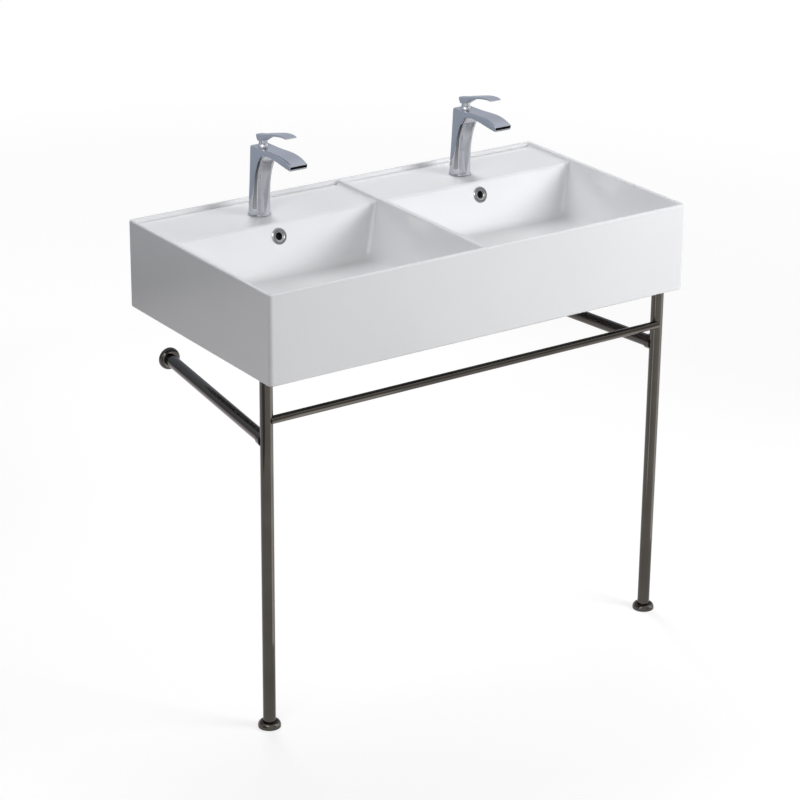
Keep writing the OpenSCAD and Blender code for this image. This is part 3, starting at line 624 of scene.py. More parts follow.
def fine_skin_group():
    """Fine matt skin of moulded rubber or nylon."""
    group, start, end = socket_group(
        "Moulded skin",
        [
            ("Low", "NodeSocketFloat", 0.5),
            ("High", "NodeSocketFloat", 0.7),
            ("Grains per metre", "NodeSocketFloat", 1500.0),
        ],
        [("Roughness", "NodeSocketFloat"), ("Height", "NodeSocketFloat")],
    )
    low, high, grains = start.outputs[:3]
    grain = noise(group, object_place(group), grains, detail=3, roughness=0.65)
    fed(group, end, Roughness=spread(group, grain, low, high), Height=grain)
    return group


def material(name):
    made = bpy.data.materials.new(name)
    made.use_nodes = True
    return made, made.node_tree, made.node_tree.nodes["Principled BSDF"]


def relief(tree, height, strength, distance):
    bump = node(tree, "ShaderNodeBump", Strength=strength, Distance=distance, Height=height)
    return bump.outputs["Normal"]


def tone(tree, colour, share, patches):
    """Colour that drifts to a darker share of itself and back."""
    other = (*(c * share for c in colour), 1)
    values = {"Tone": (*colour, 1), "Other_tone": other, "Patches_per_metre": patches}
    return node(tree, "ShaderNodeGroup", node_tree=groups["tone"], **values).outputs["Color"]


def glaze_finish(colour):
    """Fired white glaze: slow waves, a faint orange peel and a slight drift of its tone."""
    made, tree, shader = material("white_glaze")
    place = object_place(tree)
    waves = noise(tree, place, 26, detail=1)
    peel = noise(tree, place, 420, detail=1)
    fed(
        tree, shader,
        Base_Color=tone(tree, colour, 0.975, 5),
        Roughness=spread(tree, noise(tree, place, 9, detail=3), 0.1, 0.19),
        Normal=relief(tree, math_node(tree, "MULTIPLY_ADD", peel, 0.03, waves), 0.25, 0.0009),
        IOR=1.5,
    )
    return made


def marked_finish(name, colour, share, patches, marks, bump, depth, **constants):
    """Finish whose roughness and relief come from a group of marks, given with its values."""
    made, tree, shader = material(name)
    skin = node(tree, "ShaderNodeGroup", **marks)
    fed(
        tree, shader,
        Base_Color=tone(tree, colour, share, patches),
        Roughness=skin.outputs["Roughness"],
        Normal=relief(tree, skin.outputs["Height"], bump, depth),
        **constants,
    )
    return made


def metal_finish(name, colour, share, low, high, bump=0.02):
    marks = {"node_tree": groups["marks"], "Low": low, "High": high}
    return marked_finish(name, colour, share, 18, marks, bump, 0.0003, Metallic=1)


def moulded_finish(name, colour, share, low, high, grains, shine=0.5):
    marks = {"node_tree": groups["skin"], "Low": low, "High": high, "Grains_per_metre": grains}
    return marked_finish(name, colour, share, 60, marks, 0.2, 0.0002, Specular_IOR_Level=shine)


groups = {}
finish = {}


class BASIN_OT_finishes(bpy.types.Operator):
    """Makes every finish and gives the frame's own nodes theirs"""

    bl_idname = "basin.finishes"
    bl_label = "Finishes"

    def execute(self, context):
        colours = context.scene.basin_finishes
        groups.update(tone=tone_drift_group(), marks=wipe_marks_group(), skin=fine_skin_group())
        finish.update(
            ceramic=glaze_finish(colours.glaze),
            chrome=metal_finish("tap_chrome", colours.chrome, 0.93, 0.035, 0.09),
            dull_chrome=metal_finish("overflow_chrome", colours.overflow, 0.9, 0.14, 0.22),
            dark_chrome=metal_finish("stand_dark_chrome", colours.dark_chrome, 0.85, 0.05, 0.13),
            brass=metal_finish("machined_brass", colours.brass, 0.82, 0.22, 0.4, 0.08),
            steel=metal_finish("zinc_steel", (0.55, 0.56, 0.57), 0.8, 0.25, 0.42, 0.1),
            rubber=moulded_finish("black_rubber", colours.rubber, 0.6, 0.55, 0.75, 900),
            black_nylon=moulded_finish("black_nylon", (0.02, 0.02, 0.022), 0.7, 0.35, 0.5, 1800),
            white_nylon=moulded_finish("white_nylon", (0.72, 0.71, 0.68), 0.94, 0.35, 0.5, 1800),
            # Near-black painted shade for the inside of the spout's slot
            slot_dark=moulded_finish("spout_slot_dark", (0.006, 0.006, 0.007), 0.5, 0.3, 0.5, 700, 0.05),
            # Unglazed clay for the insides of the overflow ways, darkened to brown-grey as painted shade
            bare_clay=moulded_finish("bare_clay", (0.2, 0.18, 0.16), 0.8, 0.7, 0.9, 500, 0.2),
        )
        slots = {entry["node"]: entry["material_slot"] for entry in frame["record"]["subparts"]}
        for name, part in frame["nodes"].items():
            for i in range(len(part.data.materials)):
                part.data.materials[i] = finish[slots[name]]
        return {"FINISHED"}


# Ceramic


def outside(point):
    """Distance of a point from the ceramic's outer wall, seen from above."""
    x = abs(point.x) - (WIDTH / 2 - OUTER_ROUND)
    y = abs(point.y + DEPTH / 2) - (DEPTH / 2 - OUTER_ROUND)
    return (math.hypot(x, y) if x > 0 and y > 0 else max(x, y)) - OUTER_ROUND


def back_wall(z):
    return CREASE + BACK_LEAN * (DECK - z)


def near(value, *marks, within=0.1):
    return any(abs(value - mark) < within for mark in marks)


def weighted_bevel(piece, rules, full, segments):
    """Rounds each edge by the first rule that it passes: (test(middle, way, ends), rounding)."""
    mesh = piece.data
    share = mesh.attributes.new("bevel_weight_edge", "FLOAT", "EDGE")
    for edge in mesh.edges:
        a, b = (mesh.vertices[i].co for i in edge.vertices)
        for test, rounding in rules:
            if test((a + b) / 2, (b - a).normalized(), (a, b)):
                share.data[edge.index].value = rounding / full
                break
    values = {"limit_method": "WEIGHT", "offset_type": "OFFSET", "use_clamp_overlap": False}
    finished(piece, "BEVEL", width=full, segments=segments, **values)


def glazed_block(rim, x0, x1, front, squeeze):
    """Block of the ceramic, still in edit mode, cut along the rim, divider and decks' front edges."""
    piece = block("ceramic_basin", (-WIDTH / 2, -DEPTH, BOTTOM), (WIDTH / 2, 0, RIM))
    edges_rounded(piece, lambda c, d: abs(d.z) > 0.9, width=OUTER_ROUND, segments=6)
    cuts = [((x, 0, 0), (1, 0, 0)) for x in (-x1, -x0, x0, x1)]
    cuts += [((0, y, 0), (0, 1, 0)) for y in (-rim, -(rim + (CREASE - rim) / squeeze), -front)]
    for place, way in cuts:
        bpy.ops.mesh.select_all(action="SELECT")
        bpy.ops.mesh.bisect(plane_co=place, plane_no=way)
    return piece


def glazed_outside(sizes):
    """Ceramic with both bowls and tap decks sunk into it, still solid underneath."""
    rim = sizes.rim_width / MM
    x0, x1 = DIVIDER / 2, WIDTH / 2 - rim
    front = DEPTH - rim
    drop = RIM - DECK
    depth = DECK - BOWL_FLOOR
    squeeze = (front - FRONT_LEAN * drop - rim) / (front - rim)
    wide = x1 - x0 - 2 * SIDE_LEAN * drop
    high = (CREASE, front - FRONT_LEAN * drop)
    low = (CREASE + BACK_LEAN * depth, front - FRONT_LEAN * (drop + depth))
    shift = (high[0] + high[1] - low[0] - low[1]) / 2
    piece = glazed_block(rim, x0, x1, front, squeeze)
    for side in SIDES:
        middle = side * (x0 + x1) / 2
        pick(piece, lambda c, n: near(c.z, RIM) and x0 < side * c.x < x1 and -front < c.y < -rim)
        bpy.ops.mesh.extrude_region_move(TRANSFORM_OT_translate={"value": (0, 0, -drop)})
        bpy.ops.transform.resize(value=(wide / (x1 - x0), squeeze, 1), center_override=(middle, -rim, 0))
        pick(piece, lambda c, n: near(c.z, DECK) and side * c.x > 0 and c.y < -CREASE)
        bpy.ops.mesh.extrude_region_move(TRANSFORM_OT_translate={"value": (0, shift, -depth)})
        bpy.ops.transform.resize(
            value=(1 - 2 * SIDE_LEAN * depth / wide, (low[1] - low[0]) / (high[1] - high[0]), 1),
            center_override=(middle, -(low[0] + low[1]) / 2, 0),
        )
    bpy.ops.object.mode_set(mode="OBJECT")

    def outer(c, d, ends):
        return near(c.z, RIM, BOTTOM) and near(d.z, 0) and all(near(outside(p), 0) for p in ends)

    def on_rim(c, d, axis):
        """On the rim, over the bowls and decks, and along an axis."""
        inner = x0 - 0.1 < abs(c.x) < x1 + 0.1 and -front - 0.1 < c.y < -rim + 0.1
        return near(c.z, RIM) and abs(d[axis]) > 0.9 and inner

    def on_deck(c, d, axis):
        return near(c.z, DECK) and abs(d[axis]) > 0.9

    def upright(c, d, bottom, top):
        """Inner corner between two heights."""
        return bottom < c.z < top and outside(c) < -4 and abs(d.z) > 0.1

    ease = sizes.rim_ease / MM
    corner = sizes.corner_round / MM
    deck_round, deck_side_round = 4, 5
    back_part, front_part = -20, -400
    rules = [
        (outer, EDGE_ROUND),
        (lambda c, d, e: on_rim(c, d, 0) and near(c.y, -rim, -front), ease),
        (lambda c, d, e: on_rim(c, d, 1) and near(abs(c.x), x0, x1), ease),
        (lambda c, d, e: on_deck(c, d, 1) and c.y > -CREASE, deck_side_round),
        (lambda c, d, e: on_deck(c, d, 0) and near(c.y, -rim, within=1), deck_round),
        (lambda c, d, e: on_deck(c, d, 0) and near(c.y, -CREASE, within=1), sizes.crease_round / MM),
        (lambda c, d, e: upright(c, d, DECK + 1, RIM - 1) and c.y > back_part, deck_round),
        (lambda c, d, e: upright(c, d, DECK, RIM) and c.y < front_part, corner),
        (lambda c, d, e: upright(c, d, BOWL_FLOOR + 1, DECK - 1), corner),
        (lambda c, d, e: near(c.z, BOWL_FLOOR) and near(d.z, 0), sizes.floor_round / MM),
    ]
    weighted_bevel(piece, rules, full=16, segments=6)
    return piece


def dished(piece, side, spacing=11):
    """Lets a bowl's floor fall smoothly to its waste."""
    editing(piece)
    reach = DISH_R + spacing
    for i in range(int(2 * reach / spacing) + 1):
        at = i * spacing - reach
        for centre, way in (((side * BOWL_X + at, 0, 0), (1, 0, 0)), ((0, DRAIN_Y + at, 0), (0, 1, 0))):
            pick(piece, lambda c, n: n.z > 0.999 and near(c.z, BOWL_FLOOR) and side * c.x > 0)
            bpy.ops.mesh.bisect(plane_co=centre, plane_no=way)
    bpy.ops.object.mode_set(mode="OBJECT")
    for corner in piece.data.vertices:
        if near(corner.co.z, BOWL_FLOOR, within=0.01):
            away = math.hypot(corner.co.x - side * BOWL_X, corner.co.y - DRAIN_Y)
            t = min(max((DISH_R - away) / (DISH_R - RECESS_R), 0), 1)
            corner.co.z -= DISH_FALL * t * t * (3 - 2 * t)


def shell_box(side, z):
    """Plan of a bowl's underside at a height, as (x0, x1, y0, y1)."""
    leans = (SIDE_LEAN, BACK_LEAN, FRONT_LEAN)
    side_grow, back_grow, front_grow = (SHELL * math.hypot(1, lean) for lean in leans)
    x0 = DIVIDER / 2 + SIDE_LEAN * (RIM - z) - side_grow
    x1 = WIDTH / 2 - RIM_WALL - SIDE_LEAN * (RIM - z) + side_grow
    y1 = -(back_wall(z) - back_grow)
    y0 = -(DEPTH - RIM_WALL - FRONT_LEAN * (RIM - z) + front_grow)
    return (x0, x1, y0, y1) if side > 0 else (-x1, -x0, y0, y1)


def duct(name, side, width, back, front, top, low, high):
    """Way behind a bowl's back wall, from near its top down and forward to its waste."""
    outline = [
        (-back_wall(top) + back, top),
        (-back_wall(low) + back, low),
        (DRAIN_Y, low),
        (DRAIN_Y, high),
        (-back_wall(high) + front, high),
        (-back_wall(top) + front, top),
    ]
    x = side * BOWL_X - width / 2
    return prism(name, [(x, y, z) for y, z in outline], (width, 0, 0))


def hollow_below():
    """What is empty under the ceramic, cut out in one piece."""
    eaves = 3
    x, y0, y1 = WIDTH / 2 - APRON, -DEPTH + APRON, -APRON
    space = block("hollow", (-x, y0, BOTTOM + eaves), (x, y1, DECK - DECK_T))
    wider = eaves + 1
    flare_low = (-x - wider, x + wider, y0 - wider, y1 + wider)
    flare = tapered("flare", BOTTOM - 1, flare_low, BOTTOM + eaves + 1, (-x, x, y0, y1))
    carved(space, flare, way="UNION")
    low = BOWL_FLOOR - SHELL
    duct_sides = (DUCT_W + 2 * DUCT_WALL, SHELL + DUCT_T + DUCT_WALL, 0)
    duct_heights = (DECK - DECK_T / 2, DUCT_LOW - DUCT_WALL, BOWL_FLOOR)
    drain_boss_r = 38
    bolt_boss_r, bolt_boss_t = 22, 18
    leg_in, leg_back, leg_up = 38, 65, 48
    rib_low, rib_high = BOTTOM + 30, BOTTOM + 104
    for side in SIDES:
        shell = tapered("shell", low, shell_box(side, low), DECK, shell_box(side, DECK))
        edges_rounded(shell, lambda c, d: near(c.z, low), width=16, segments=5)
        bpy.ops.object.mode_set(mode="OBJECT")
        left, right = sorted((side * (WIDTH / 2 + 1), side * (WIDTH / 2 - leg_in)))
        leg_boss = ((left, -DEPTH - 1, BOTTOM - 9), (right, -DEPTH + leg_back, BOTTOM + leg_up))
        carved(
            space,
            shell,
            duct("duct_wall", side, *duct_sides, *duct_heights),
            rod("drain_boss", drain_boss_r, BOSS, BOWL_FLOOR, (side * BOWL_X, DRAIN_Y)),
            placed(rod("bolt_boss", bolt_boss_r, -1, bolt_boss_t), tipped((side * BOLT_X, 0, 0))),
            block("leg_boss", *leg_boss),
        )
    return carved(space, block("rib", (-APRON / 2, -DEPTH, rib_low), (APRON / 2, 0, rib_high)))


def in_duct(point):
    """Whether a point is on the unglazed inside of an overflow way, which is painted dark brown-grey as
    shade.
    """
    behind = point.y + back_wall(point.z)
    beside = abs(abs(point.x) - BOWL_X)
    if beside > DUCT_W / 2 + 0.1 or not SHELL - 0.1 < behind < SHELL + DUCT_T + 0.1:
        return False
    return DUCT_LOW - 0.1 < point.z < OVERFLOW_Z + OVERFLOW_R + 0.1


def overflow_place(side, lift=0.1):
    """Place on a bowl's back wall, a little proud of the glaze."""
    tilt = math.pi / 2 - math.atan(BACK_LEAN)
    at = (side * BOWL_X, -back_wall(OVERFLOW_Z), OVERFLOW_Z)
    return tipped(at, tilt) @ Matrix.Translation((0, 0, lift))


class BASIN_OT_ceramic(bpy.types.Operator):
    """Makes the glazed ceramic: rim, two tap decks, two bowls and the hollow underside"""

    bl_idname = "basin.ceramic"
    bl_label = "Ceramic basin"

    def execute(self, context):
        piece = glazed_outside(context.scene.basin_sizes)
        for side in SIDES:
            dished(piece, side)
        carved(piece, hollow_below())
        lip_r = RECESS_R + 1.4
        seat = [
            (0, SEAT), (RECESS_R, SEAT), (RECESS_R, SEAT + RECESS - 0.8), (lip_r, SEAT + RECESS + 0.6),
            (lip_r, 0), (0, 0),
        ]
        way = (SHELL + DUCT_T, SHELL, OVERFLOW_Z + OVERFLOW_R, DUCT_LOW, DUCT_LOW + DUCT_T)
        for side in SIDES:
            x = side * BOWL_X
            carved(
                piece,
                placed(turned("flange_seat", seat), waste_place(side)),
                rod("drain_hole", DRAIN_HOLE_R, BOTTOM, 0, (x, DRAIN_Y)),
                duct("overflow_way", side, DUCT_W, *way),
                placed(rod("overflow_hole", OVERFLOW_R, -SHELL - 6, 6), overflow_place(side, 0.0)),
                rod("tap_hole", TAP_HOLE_R, DECK - DECK_T - 1, DECK + 1, (x, TAP_Y)),
                placed(rod("bolt_hole", BOLT_R, -1, 19), tipped((side * BOLT_X, 0, 0))),
                rod("insert_hole", BOLT_R, BOTTOM - 1, BOTTOM + 38, (side * LEG_X, LEG_Y)),
            )
        # Faces inside the overflow ways take the unglazed clay, darkened as painted shade
        for face in piece.data.polygons:
            face.material_index = in_duct(face.center)
        settled(piece, "basin", slot="ceramic", finishes=("ceramic", "bare_clay"))
        return {"FINISHED"}


class BASIN_OT_overflows(bpy.types.Operator):
    """Makes the two overflow rings in the bowls' back walls"""

    bl_idname = "basin.overflows"
    bl_label = "Overflow rings"

    def execute(self, context):
        outline = [
            (7, -14, 0.3), (10.95, -14, 0.4), (10.95, 0), (16.5, 0, 0.2), (16.5, 0.8, 0.5), (14.6, 2.5, 0.9),
            (11.2, 2.5, 0.5), (10.2, 1.7, 0.4), (8.2, 1.5, 0.4), (7, 0.2, 0.6),
        ]
        ring = turned("overflow", outline)
        each_side(overflow_place, (ring, "overflow_trim", "overflow_ring"), finishes=("dull_chrome",))
        return {"FINISHED"}


# Wastes


def thread(radius, depth, low, high, pitch):
    """Outline of a threaded length, from its low end up."""
    points = []
    for i in range(int((high - low) / pitch)):
        z = low + i * pitch
        points += [(radius - depth, z + 0.15 * pitch), (radius, z + 0.4 * pitch)]
        points += [(radius, z + 0.6 * pitch), (radius - depth, z + 0.85 * pitch)]
    return points


def hexagon(name, across_corners, low, high, bore, chamfer):
    """Hexagonal nut with chamfered corners and an eased bore."""
    r = across_corners / 2
    flat = r * math.cos(math.pi / 6) - 0.3
    lens = [
        (0, low), (flat, low), (r + 0.5, low + chamfer), (r + 0.5, high - chamfer), (flat, high), (0, high),
    ]
    wide = bore + 1.6
    hole = [
        (0, low - 1), (wide, low - 1), (bore, low + 0.7), (bore, high - 0.7), (wide, high + 1), (0, high + 1),
    ]
    nut = rod(name, r, low, high, sides=6)
    carved(nut, turned("lens", lens), way="INTERSECT")
    return carved(nut, turned("hole", hole))


class BASIN_OT_wastes(bpy.types.Operator):
    """Makes the waste flanges with their threaded tubes, and the plugs that click in them"""

    bl_idname = "basin.wastes"
    bl_label = "Click wastes"

    def execute(self, context):
        seat = SEAT + 1.5
        body = turned(
            "waste",
            [(WASTE_BORE, TUBE_END), (20.2, TUBE_END)]
            + thread(WASTE_R, 0.7, TUBE_END + 0.8, BOSS - 1, 2)
            + [
                (WASTE_R, BOSS), (WASTE_R, seat), (FLANGE_R, seat, 0.2), (FLANGE_R, seat + 0.9, 0.6),
                (FLANGE_R - 2.4, FLANGE_TOP, 0.8), (24, FLANGE_TOP, 0.7), (17.5, FLANGE_TOP - 5, 1.5),
                (17.5, NUT_TOP), (WASTE_BORE, NUT_TOP),
            ],
        )
        for x, y in ((21.5, 6), (6, 21.5)):
            carved(body, block("slot", (-x, -y, DUCT_LOW), (x, y, DUCT_LOW + DUCT_T)))
        top = FLANGE_TOP + 0.35
        plug = turned(
            "plug",
            [
                (0, NUT_TOP - 2), (3, NUT_TOP - 2, 0.3), (4, NUT_TOP - 1, 0.3), (4, top - 4.7),
                (15, top - 3.9, 0.4), (15, top), (23, top, 0.3), (23, top + 1, 0.5),
            ]
            + arc(0, top + 1, 22.9, 3.4, 12, 82, 10)
            + [(0, top + 4.4)],
        )
        flange = (body, "waste_flange", "waste_body")
        each_side(waste_place, flange, (plug, "waste_click_plug", "waste_plug", "plug"))
        return {"FINISHED"}


class BASIN_OT_waste_fixings(bpy.types.Operator):
    """Makes the gaskets and lock nuts under the bowls, and the tailpieces below them"""

    bl_idname = "basin.waste_fixings"
    bl_label = "Waste fixings"

    def execute(self, context):
        bore = WASTE_R + 0.05
        outline = [(bore, NUT_TOP, 0.5), (34, NUT_TOP, 1), (34, BOSS, 0.6), (bore, BOSS, 0.3)]
        gasket = turned("gasket", outline)
        both_sides(waste_place, gasket, "waste_washers", "waste_low_gaskets", slot="rubber")
        nut = hexagon("nut", 66, BOSS - 12, NUT_TOP, bore, 2.2)
        both_sides(waste_place, nut, "waste_hexagon_nuts", "waste_lock_nuts", slot="brass")
        low = TUBE_END - 60
        high = TUBE_END + 20
        tail = turned(
            "tail",
            [
                (14.5, low, 0.4), (16, low, 0.6), (16, low + 9, 0.2), (15.6, low + 9.6, 0.2),
                (15.6, low + 11.4, 0.2), (16, low + 12, 0.2), (16, TUBE_END - 0.2), (16.55, TUBE_END, 0.2),
                (16.55, high, 0.3), (14.5, high, 0.3),
            ],
        )
        each_side(waste_place, (tail, "waste_outlet", "tailpiece"))
        return {"FINISHED"}


# Taps: made with the deck at zero and the spout towards -Y, then set on the deck

# Slices of the casting: back or top point (forward, up), front or under point, width, squareness
CASTING = [
    (-21.5, 4, 21.5, 4, 43, 2),
    (-18.5, 30, 20.5, 30, 40.5, 2.3),
    (-14.5, 62, 21, 62, 38, 2.9),
    (-10.5, 92, 25, 89, 38, 3.8),
    (-7, 120, 34, 113, 38, 5.5),
    (-4.5, 137, 41, 125, 38, 8),
    (1, 142.5, 48, 131, 38, 11),
    (20, 143, 56, 133.5, 38, 12),
    (50, 143.5, 68, 134.5, 38.5, 12),
    (80, 145.3, 86, 133.2, 39, 12),
    (104, 145.8, 104, 130.7, 39, 12),
    (126, 142.6, 124, 128, 39, 12),
    (145, 136, 142.5, 126.2, 39, 12),
]

# End of the spout: height of its top edge and of the ledge under its slot, and its width
LIP_TOP = 136
LIP_LEDGE = 129.4
LIP_W = 39

# Slices of the lever's leaf: forward, top, underside, half width
LEAF = [
    (1.0, 163.3, 161.9, 5.6),
    (1.6, 163.7, 160.6, 6.6),
    (4.4, 164.3, 157, 7.9),
    (8.4, 165.1, 151.7, 8.3),
    (17, 167.0, 153.5, 8.6),
    (25, 168.9, 155, 8.9),
    (34.3, 171.6, 160.9, 9.3),
    (46.2, 174.6, 167.7, 10.1),
    (62.9, 178.8, 173.4, 11.4),
    (84.3, 183.6, 178.6, 12.7),
    (104.5, 185.5, 181.5, 13),
    (116, 184.2, 181.6, 12.7),
    (119, 183.7, 181.9, 11.6),
    (120, 183.4, 182.3, 10.0),
]


def curve(rows, steps):
    """Rows with smooth steps between neighbours."""
    found = []
    for i in range(len(rows) - 1):
        a, b, c, d = (rows[min(max(i + k, 0), len(rows) - 1)] for k in (-1, 0, 1, 2))
        for k in range(steps):
            t = k / steps
            row = []
            for p, q, r, s in zip(a, b, c, d):
                bend = (2 * p - 5 * q + 4 * r - s) * t * t
                row.append(0.5 * (2 * q + (r - p) * t + bend + (3 * q - p - 3 * r + s) * t**3))
            found.append(row)
    found.append(list(rows[-1]))
    return found


def section(count, squareness):
    """Points of a rounded outline of width and height 1, more square with a higher number."""
    found = []
    for i in range(count):
        a = math.tau * (i + 0.5) / count
        x, y = math.cos(a), math.sin(a)
        found.append(tuple(math.copysign(abs(v) ** (2 / squareness), v) / 2 for v in (x, y)))
    return found


class BASIN_OT_tap_castings(bpy.types.Operator):
    """Lofts the tap bodies from their slices and cuts their recesses and the slot in the lip, whose inside is
    painted near black as shade
    """

    bl_idname = "basin.tap_castings"
    bl_label = "Tap castings"

    def execute(self, context):
        rings = []
        for back_y, back_z, front_y, front_z, width, squareness in curve(CASTING, 6):
            y, z = (back_y + front_y) / 2, (back_z + front_z) / 2
            rise = front_z - back_z
            reach = front_y - back_y
            rings.append([(x * width, -(y + reach * t), z + rise * t) for x, t in section(72, squareness)])
        piece = lofted("casting", rings)
        self.slot_cut(piece, context.scene.basin_taps)
        cutters = [
            rod("dome_seat", 13.15, TAP_H - 4.5, TAP_H + 9, (0, -CARTRIDGE)),
            rod("cartridge_room", 11.55, TAP_H - 38, TAP_H, (0, -CARTRIDGE)),
            rod("aerator_seat", 8.55, 100, TAP_H - 6.8, (0, -AERATOR)),
            rod("stud_hole", 4.05, -1, 18, (0, STUD_BACK), 48),
        ]
        for side in SIDES:
            cutters.append(rod("inlet", 4.5, -1, 18, (side * 7, -10), 48))
        carved(piece, *cutters)
        each_side(tap_place, (piece, "tap_casting", "tap_body"), finishes=("chrome", "slot_dark"))
        return {"FINISHED"}

    def slot_cut(self, piece, sizes):
        """Cuts the slot in the spout's end and paints its inside near black as painted shade."""
        inset = sizes.lip_inset / MM
        top = LIP_TOP - inset
        half = LIP_W / 2 - inset
        back = -SPOUT + sizes.lip_depth / MM
        slot = block("slot", (-half, -SPOUT - 2, LIP_LEDGE), (half, back, top))
        edges_rounded(slot, lambda c, d: abs(d.y) > 0.9, width=1.2, segments=4)
        bpy.ops.object.mode_set(mode="OBJECT")
        carved(piece, slot)
        for name in ("chrome", "slot_dark"):
            piece.data.materials.append(finish[name])
        # Faces inside the slot take the near-black painted shade
        for face in piece.data.polygons:
            c = face.center
            across = abs(c.x) < half + 0.1 and LIP_LEDGE - 0.1 < c.z < top + 0.1
            face.material_index = across and -SPOUT + 1.3 < c.y < back + 0.1 and face.normal.z < 0.5


class BASIN_OT_tap_trim(bpy.types.Operator):
    """Makes the base rings, the domes under the levers and the aerators"""

    bl_idname = "basin.tap_trim"
    bl_label = "Tap rings, domes and aerators"

    def execute(self, context):
        outline = [(17.5, 1, 0.2), (22.7, 1, 0.3), (22.7, 2.4, 0.7), (21.4, 4, 0.9), (17.5, 4, 0.2)]
        both_sides(tap_place, turned("ring", outline), "tap_foot_rings", "tap_base_rings")

        low, high = TAP_H - 4.5, TAP_H - 0.05
        dome = turned(
            "dome",
            [(8.2, low), (13.1, low, 0.2), (13.1, high, 0.35), (10.8, high, 0.1)]
            + arc(0, PIVOT, 11, 11, 11, 55, 12)
            + arc(0, PIVOT, 9.4, 9.4, 48, -16, 12),
        )
        placed(dome, (0, -CARTRIDGE, 0))

        low, high = TAP_H - 16, TAP_H - 7
        aerator = turned(
            "aerator",
            [
                (0, low), (6.6, low), (7.1, low, 0.1), (8.5, low, 0.5), (8.5, high, 0.3), (7, high, 0.3),
                (7, low + 3), (0, low + 3),
            ],
        )
        holes = [(0, 0, 0.8)]
        for ring_r, count in ((3, 6), (5.6, context.scene.basin_taps.sprays)):
            turns = (math.tau * i / count for i in range(count))
            holes += [(ring_r * math.cos(a), ring_r * math.sin(a), 0.75) for a in turns]
        for x, y, r in holes:
            carved(aerator, rod("spray", r, low - 1, low + 4, (x, y), 16))
        placed(aerator, (0, -AERATOR, 0))
        each_side(tap_place, (dome, "tap_dome", "dome_nut"), (aerator, "tap_aerator", "aerator"))
        return {"FINISHED"}


class BASIN_OT_levers(bpy.types.Operator):
    """Lofts the tap levers and joins each to its neck over the dome"""

    bl_idname = "basin.levers"
    bl_label = "Tap levers"

    def execute(self, context):
        rings = []
        for forward, top, under, half in curve(LEAF, 4):
            middle = (top + under) / 2
            rings.append([(2 * half * x, -forward, middle + (top - under) * t) for x, t in section(48, 7)])
        piece = lofted("leaf", rings)
        stem = (0, -CARTRIDGE)
        neck = turned("neck", [(0, TAP_H + 1), (8.6, TAP_H + 1), (8.6, TAP_H + 22, 1), (0, TAP_H + 22)])
        carved(piece, placed(neck, (*stem, 0)), way="UNION")
        clear_selection()
        bpy.ops.mesh.primitive_uv_sphere_add(
            segments=64, ring_count=48, radius=11.4, location=(*stem, PIVOT)
        )
        carved(piece, added("dome_room"))
        grub = placed(rod("grub_hole", 2.05, 0, 17.2, sides=32), tipped((0, 0.2, TAP_H + 13)))
        carved(piece, rod("stem_hole", 2.55, TAP_H, TAP_H + 20, stem, 32), grub)
        each_side(tap_place, (piece, "tap_lever", "lever", "handle"), angle=38)
        return {"FINISHED"}


class BASIN_OT_tap_fixings(bpy.types.Operator):
    """Makes the threaded studs and hexagon nuts that hold the taps from below"""

    bl_idname = "basin.tap_fixings"
    bl_label = "Tap fixings"

    def execute(self, context):
        low, high = (corner.z - DECK for corner in frame_box("tap_studs"))
        outline = (
            [(0, low), (3.2, low, 0.2)]
            + thread(4, 0.45, low + 0.6, high - 4, 1.25)
            + [(4, high - 1, 0.3), (3.4, high, 0.3), (0, high)]
        )
        stud = placed(turned("stud", outline, 48), (0, STUD_BACK, 0))
        both_sides(tap_place, stud, "tap_threaded_studs", "tap_studs", slot="steel")
        nut = placed(hexagon("nut", 13.6, -27, -17, 4.05, 1), (0, STUD_BACK, 0))
        both_sides(tap_place, nut, "tap_hexagon_nuts", "tap_nuts", slot="brass")
        return {"FINISHED"}


# Stand


def leg_room(side):
    """What a leg takes out of a rail or bar that meets it."""
    return rod("leg_room", TUBE_R + 0.05, FLOOR, RIM, (side * LEG_X, LEG_Y), TUBE_ROUND)


def rail_place(side):
    toe = math.atan((LEG_X - RAIL_WALL_X) / -LEG_Y)
    at = (side * LEG_X, LEG_Y, RAIL_Z)
    return tipped(at, side * toe, "Z") @ Matrix.Rotation(-math.pi / 2, 4, "X")


def dome_cover(name, bore):
    """Hollow domed cover that stands on its rim, with a bore for the tube."""
    r, skirt, crown, wall = 22.5, 3, 9, 1.5
    roll = crown * 0.8
    top = skirt + crown
    outer = arc(r - roll, skirt, roll, crown, 0, 90, 9)
    inner = arc(r - roll, skirt, roll - wall, crown - wall, 90, 0, 9)
    outline = (
        [(r - wall, 0), (r - 0.1, 0, 1.1), (r, skirt - 0.3)]
        + outer[1:-1]
        + [(bore + 0.6, top - 0.2), (bore, top - 0.9), (bore, top - wall)]
        + inner[1:-1]
    )
    return turned(name, outline, TUBE_ROUND)


class BASIN_OT_legs(bpy.types.Operator):
    """Makes the two front legs"""

    bl_idname = "basin.legs"
    bl_label = "Legs"

    def execute(self, context):
        low, high = leg_low.z, leg_high.z
        bore = TUBE_R - TUBE_WALL
        outline = [(bore, low, 0.3), (TUBE_R, low, 0.5), (TUBE_R, high, 0.5), (bore, high, 0.3)]
        tube = turned("tube", outline, TUBE_ROUND)
        each_side(leg_place, (tube, "stand_leg", "leg"), slot="dark_chrome")
        return {"FINISHED"}


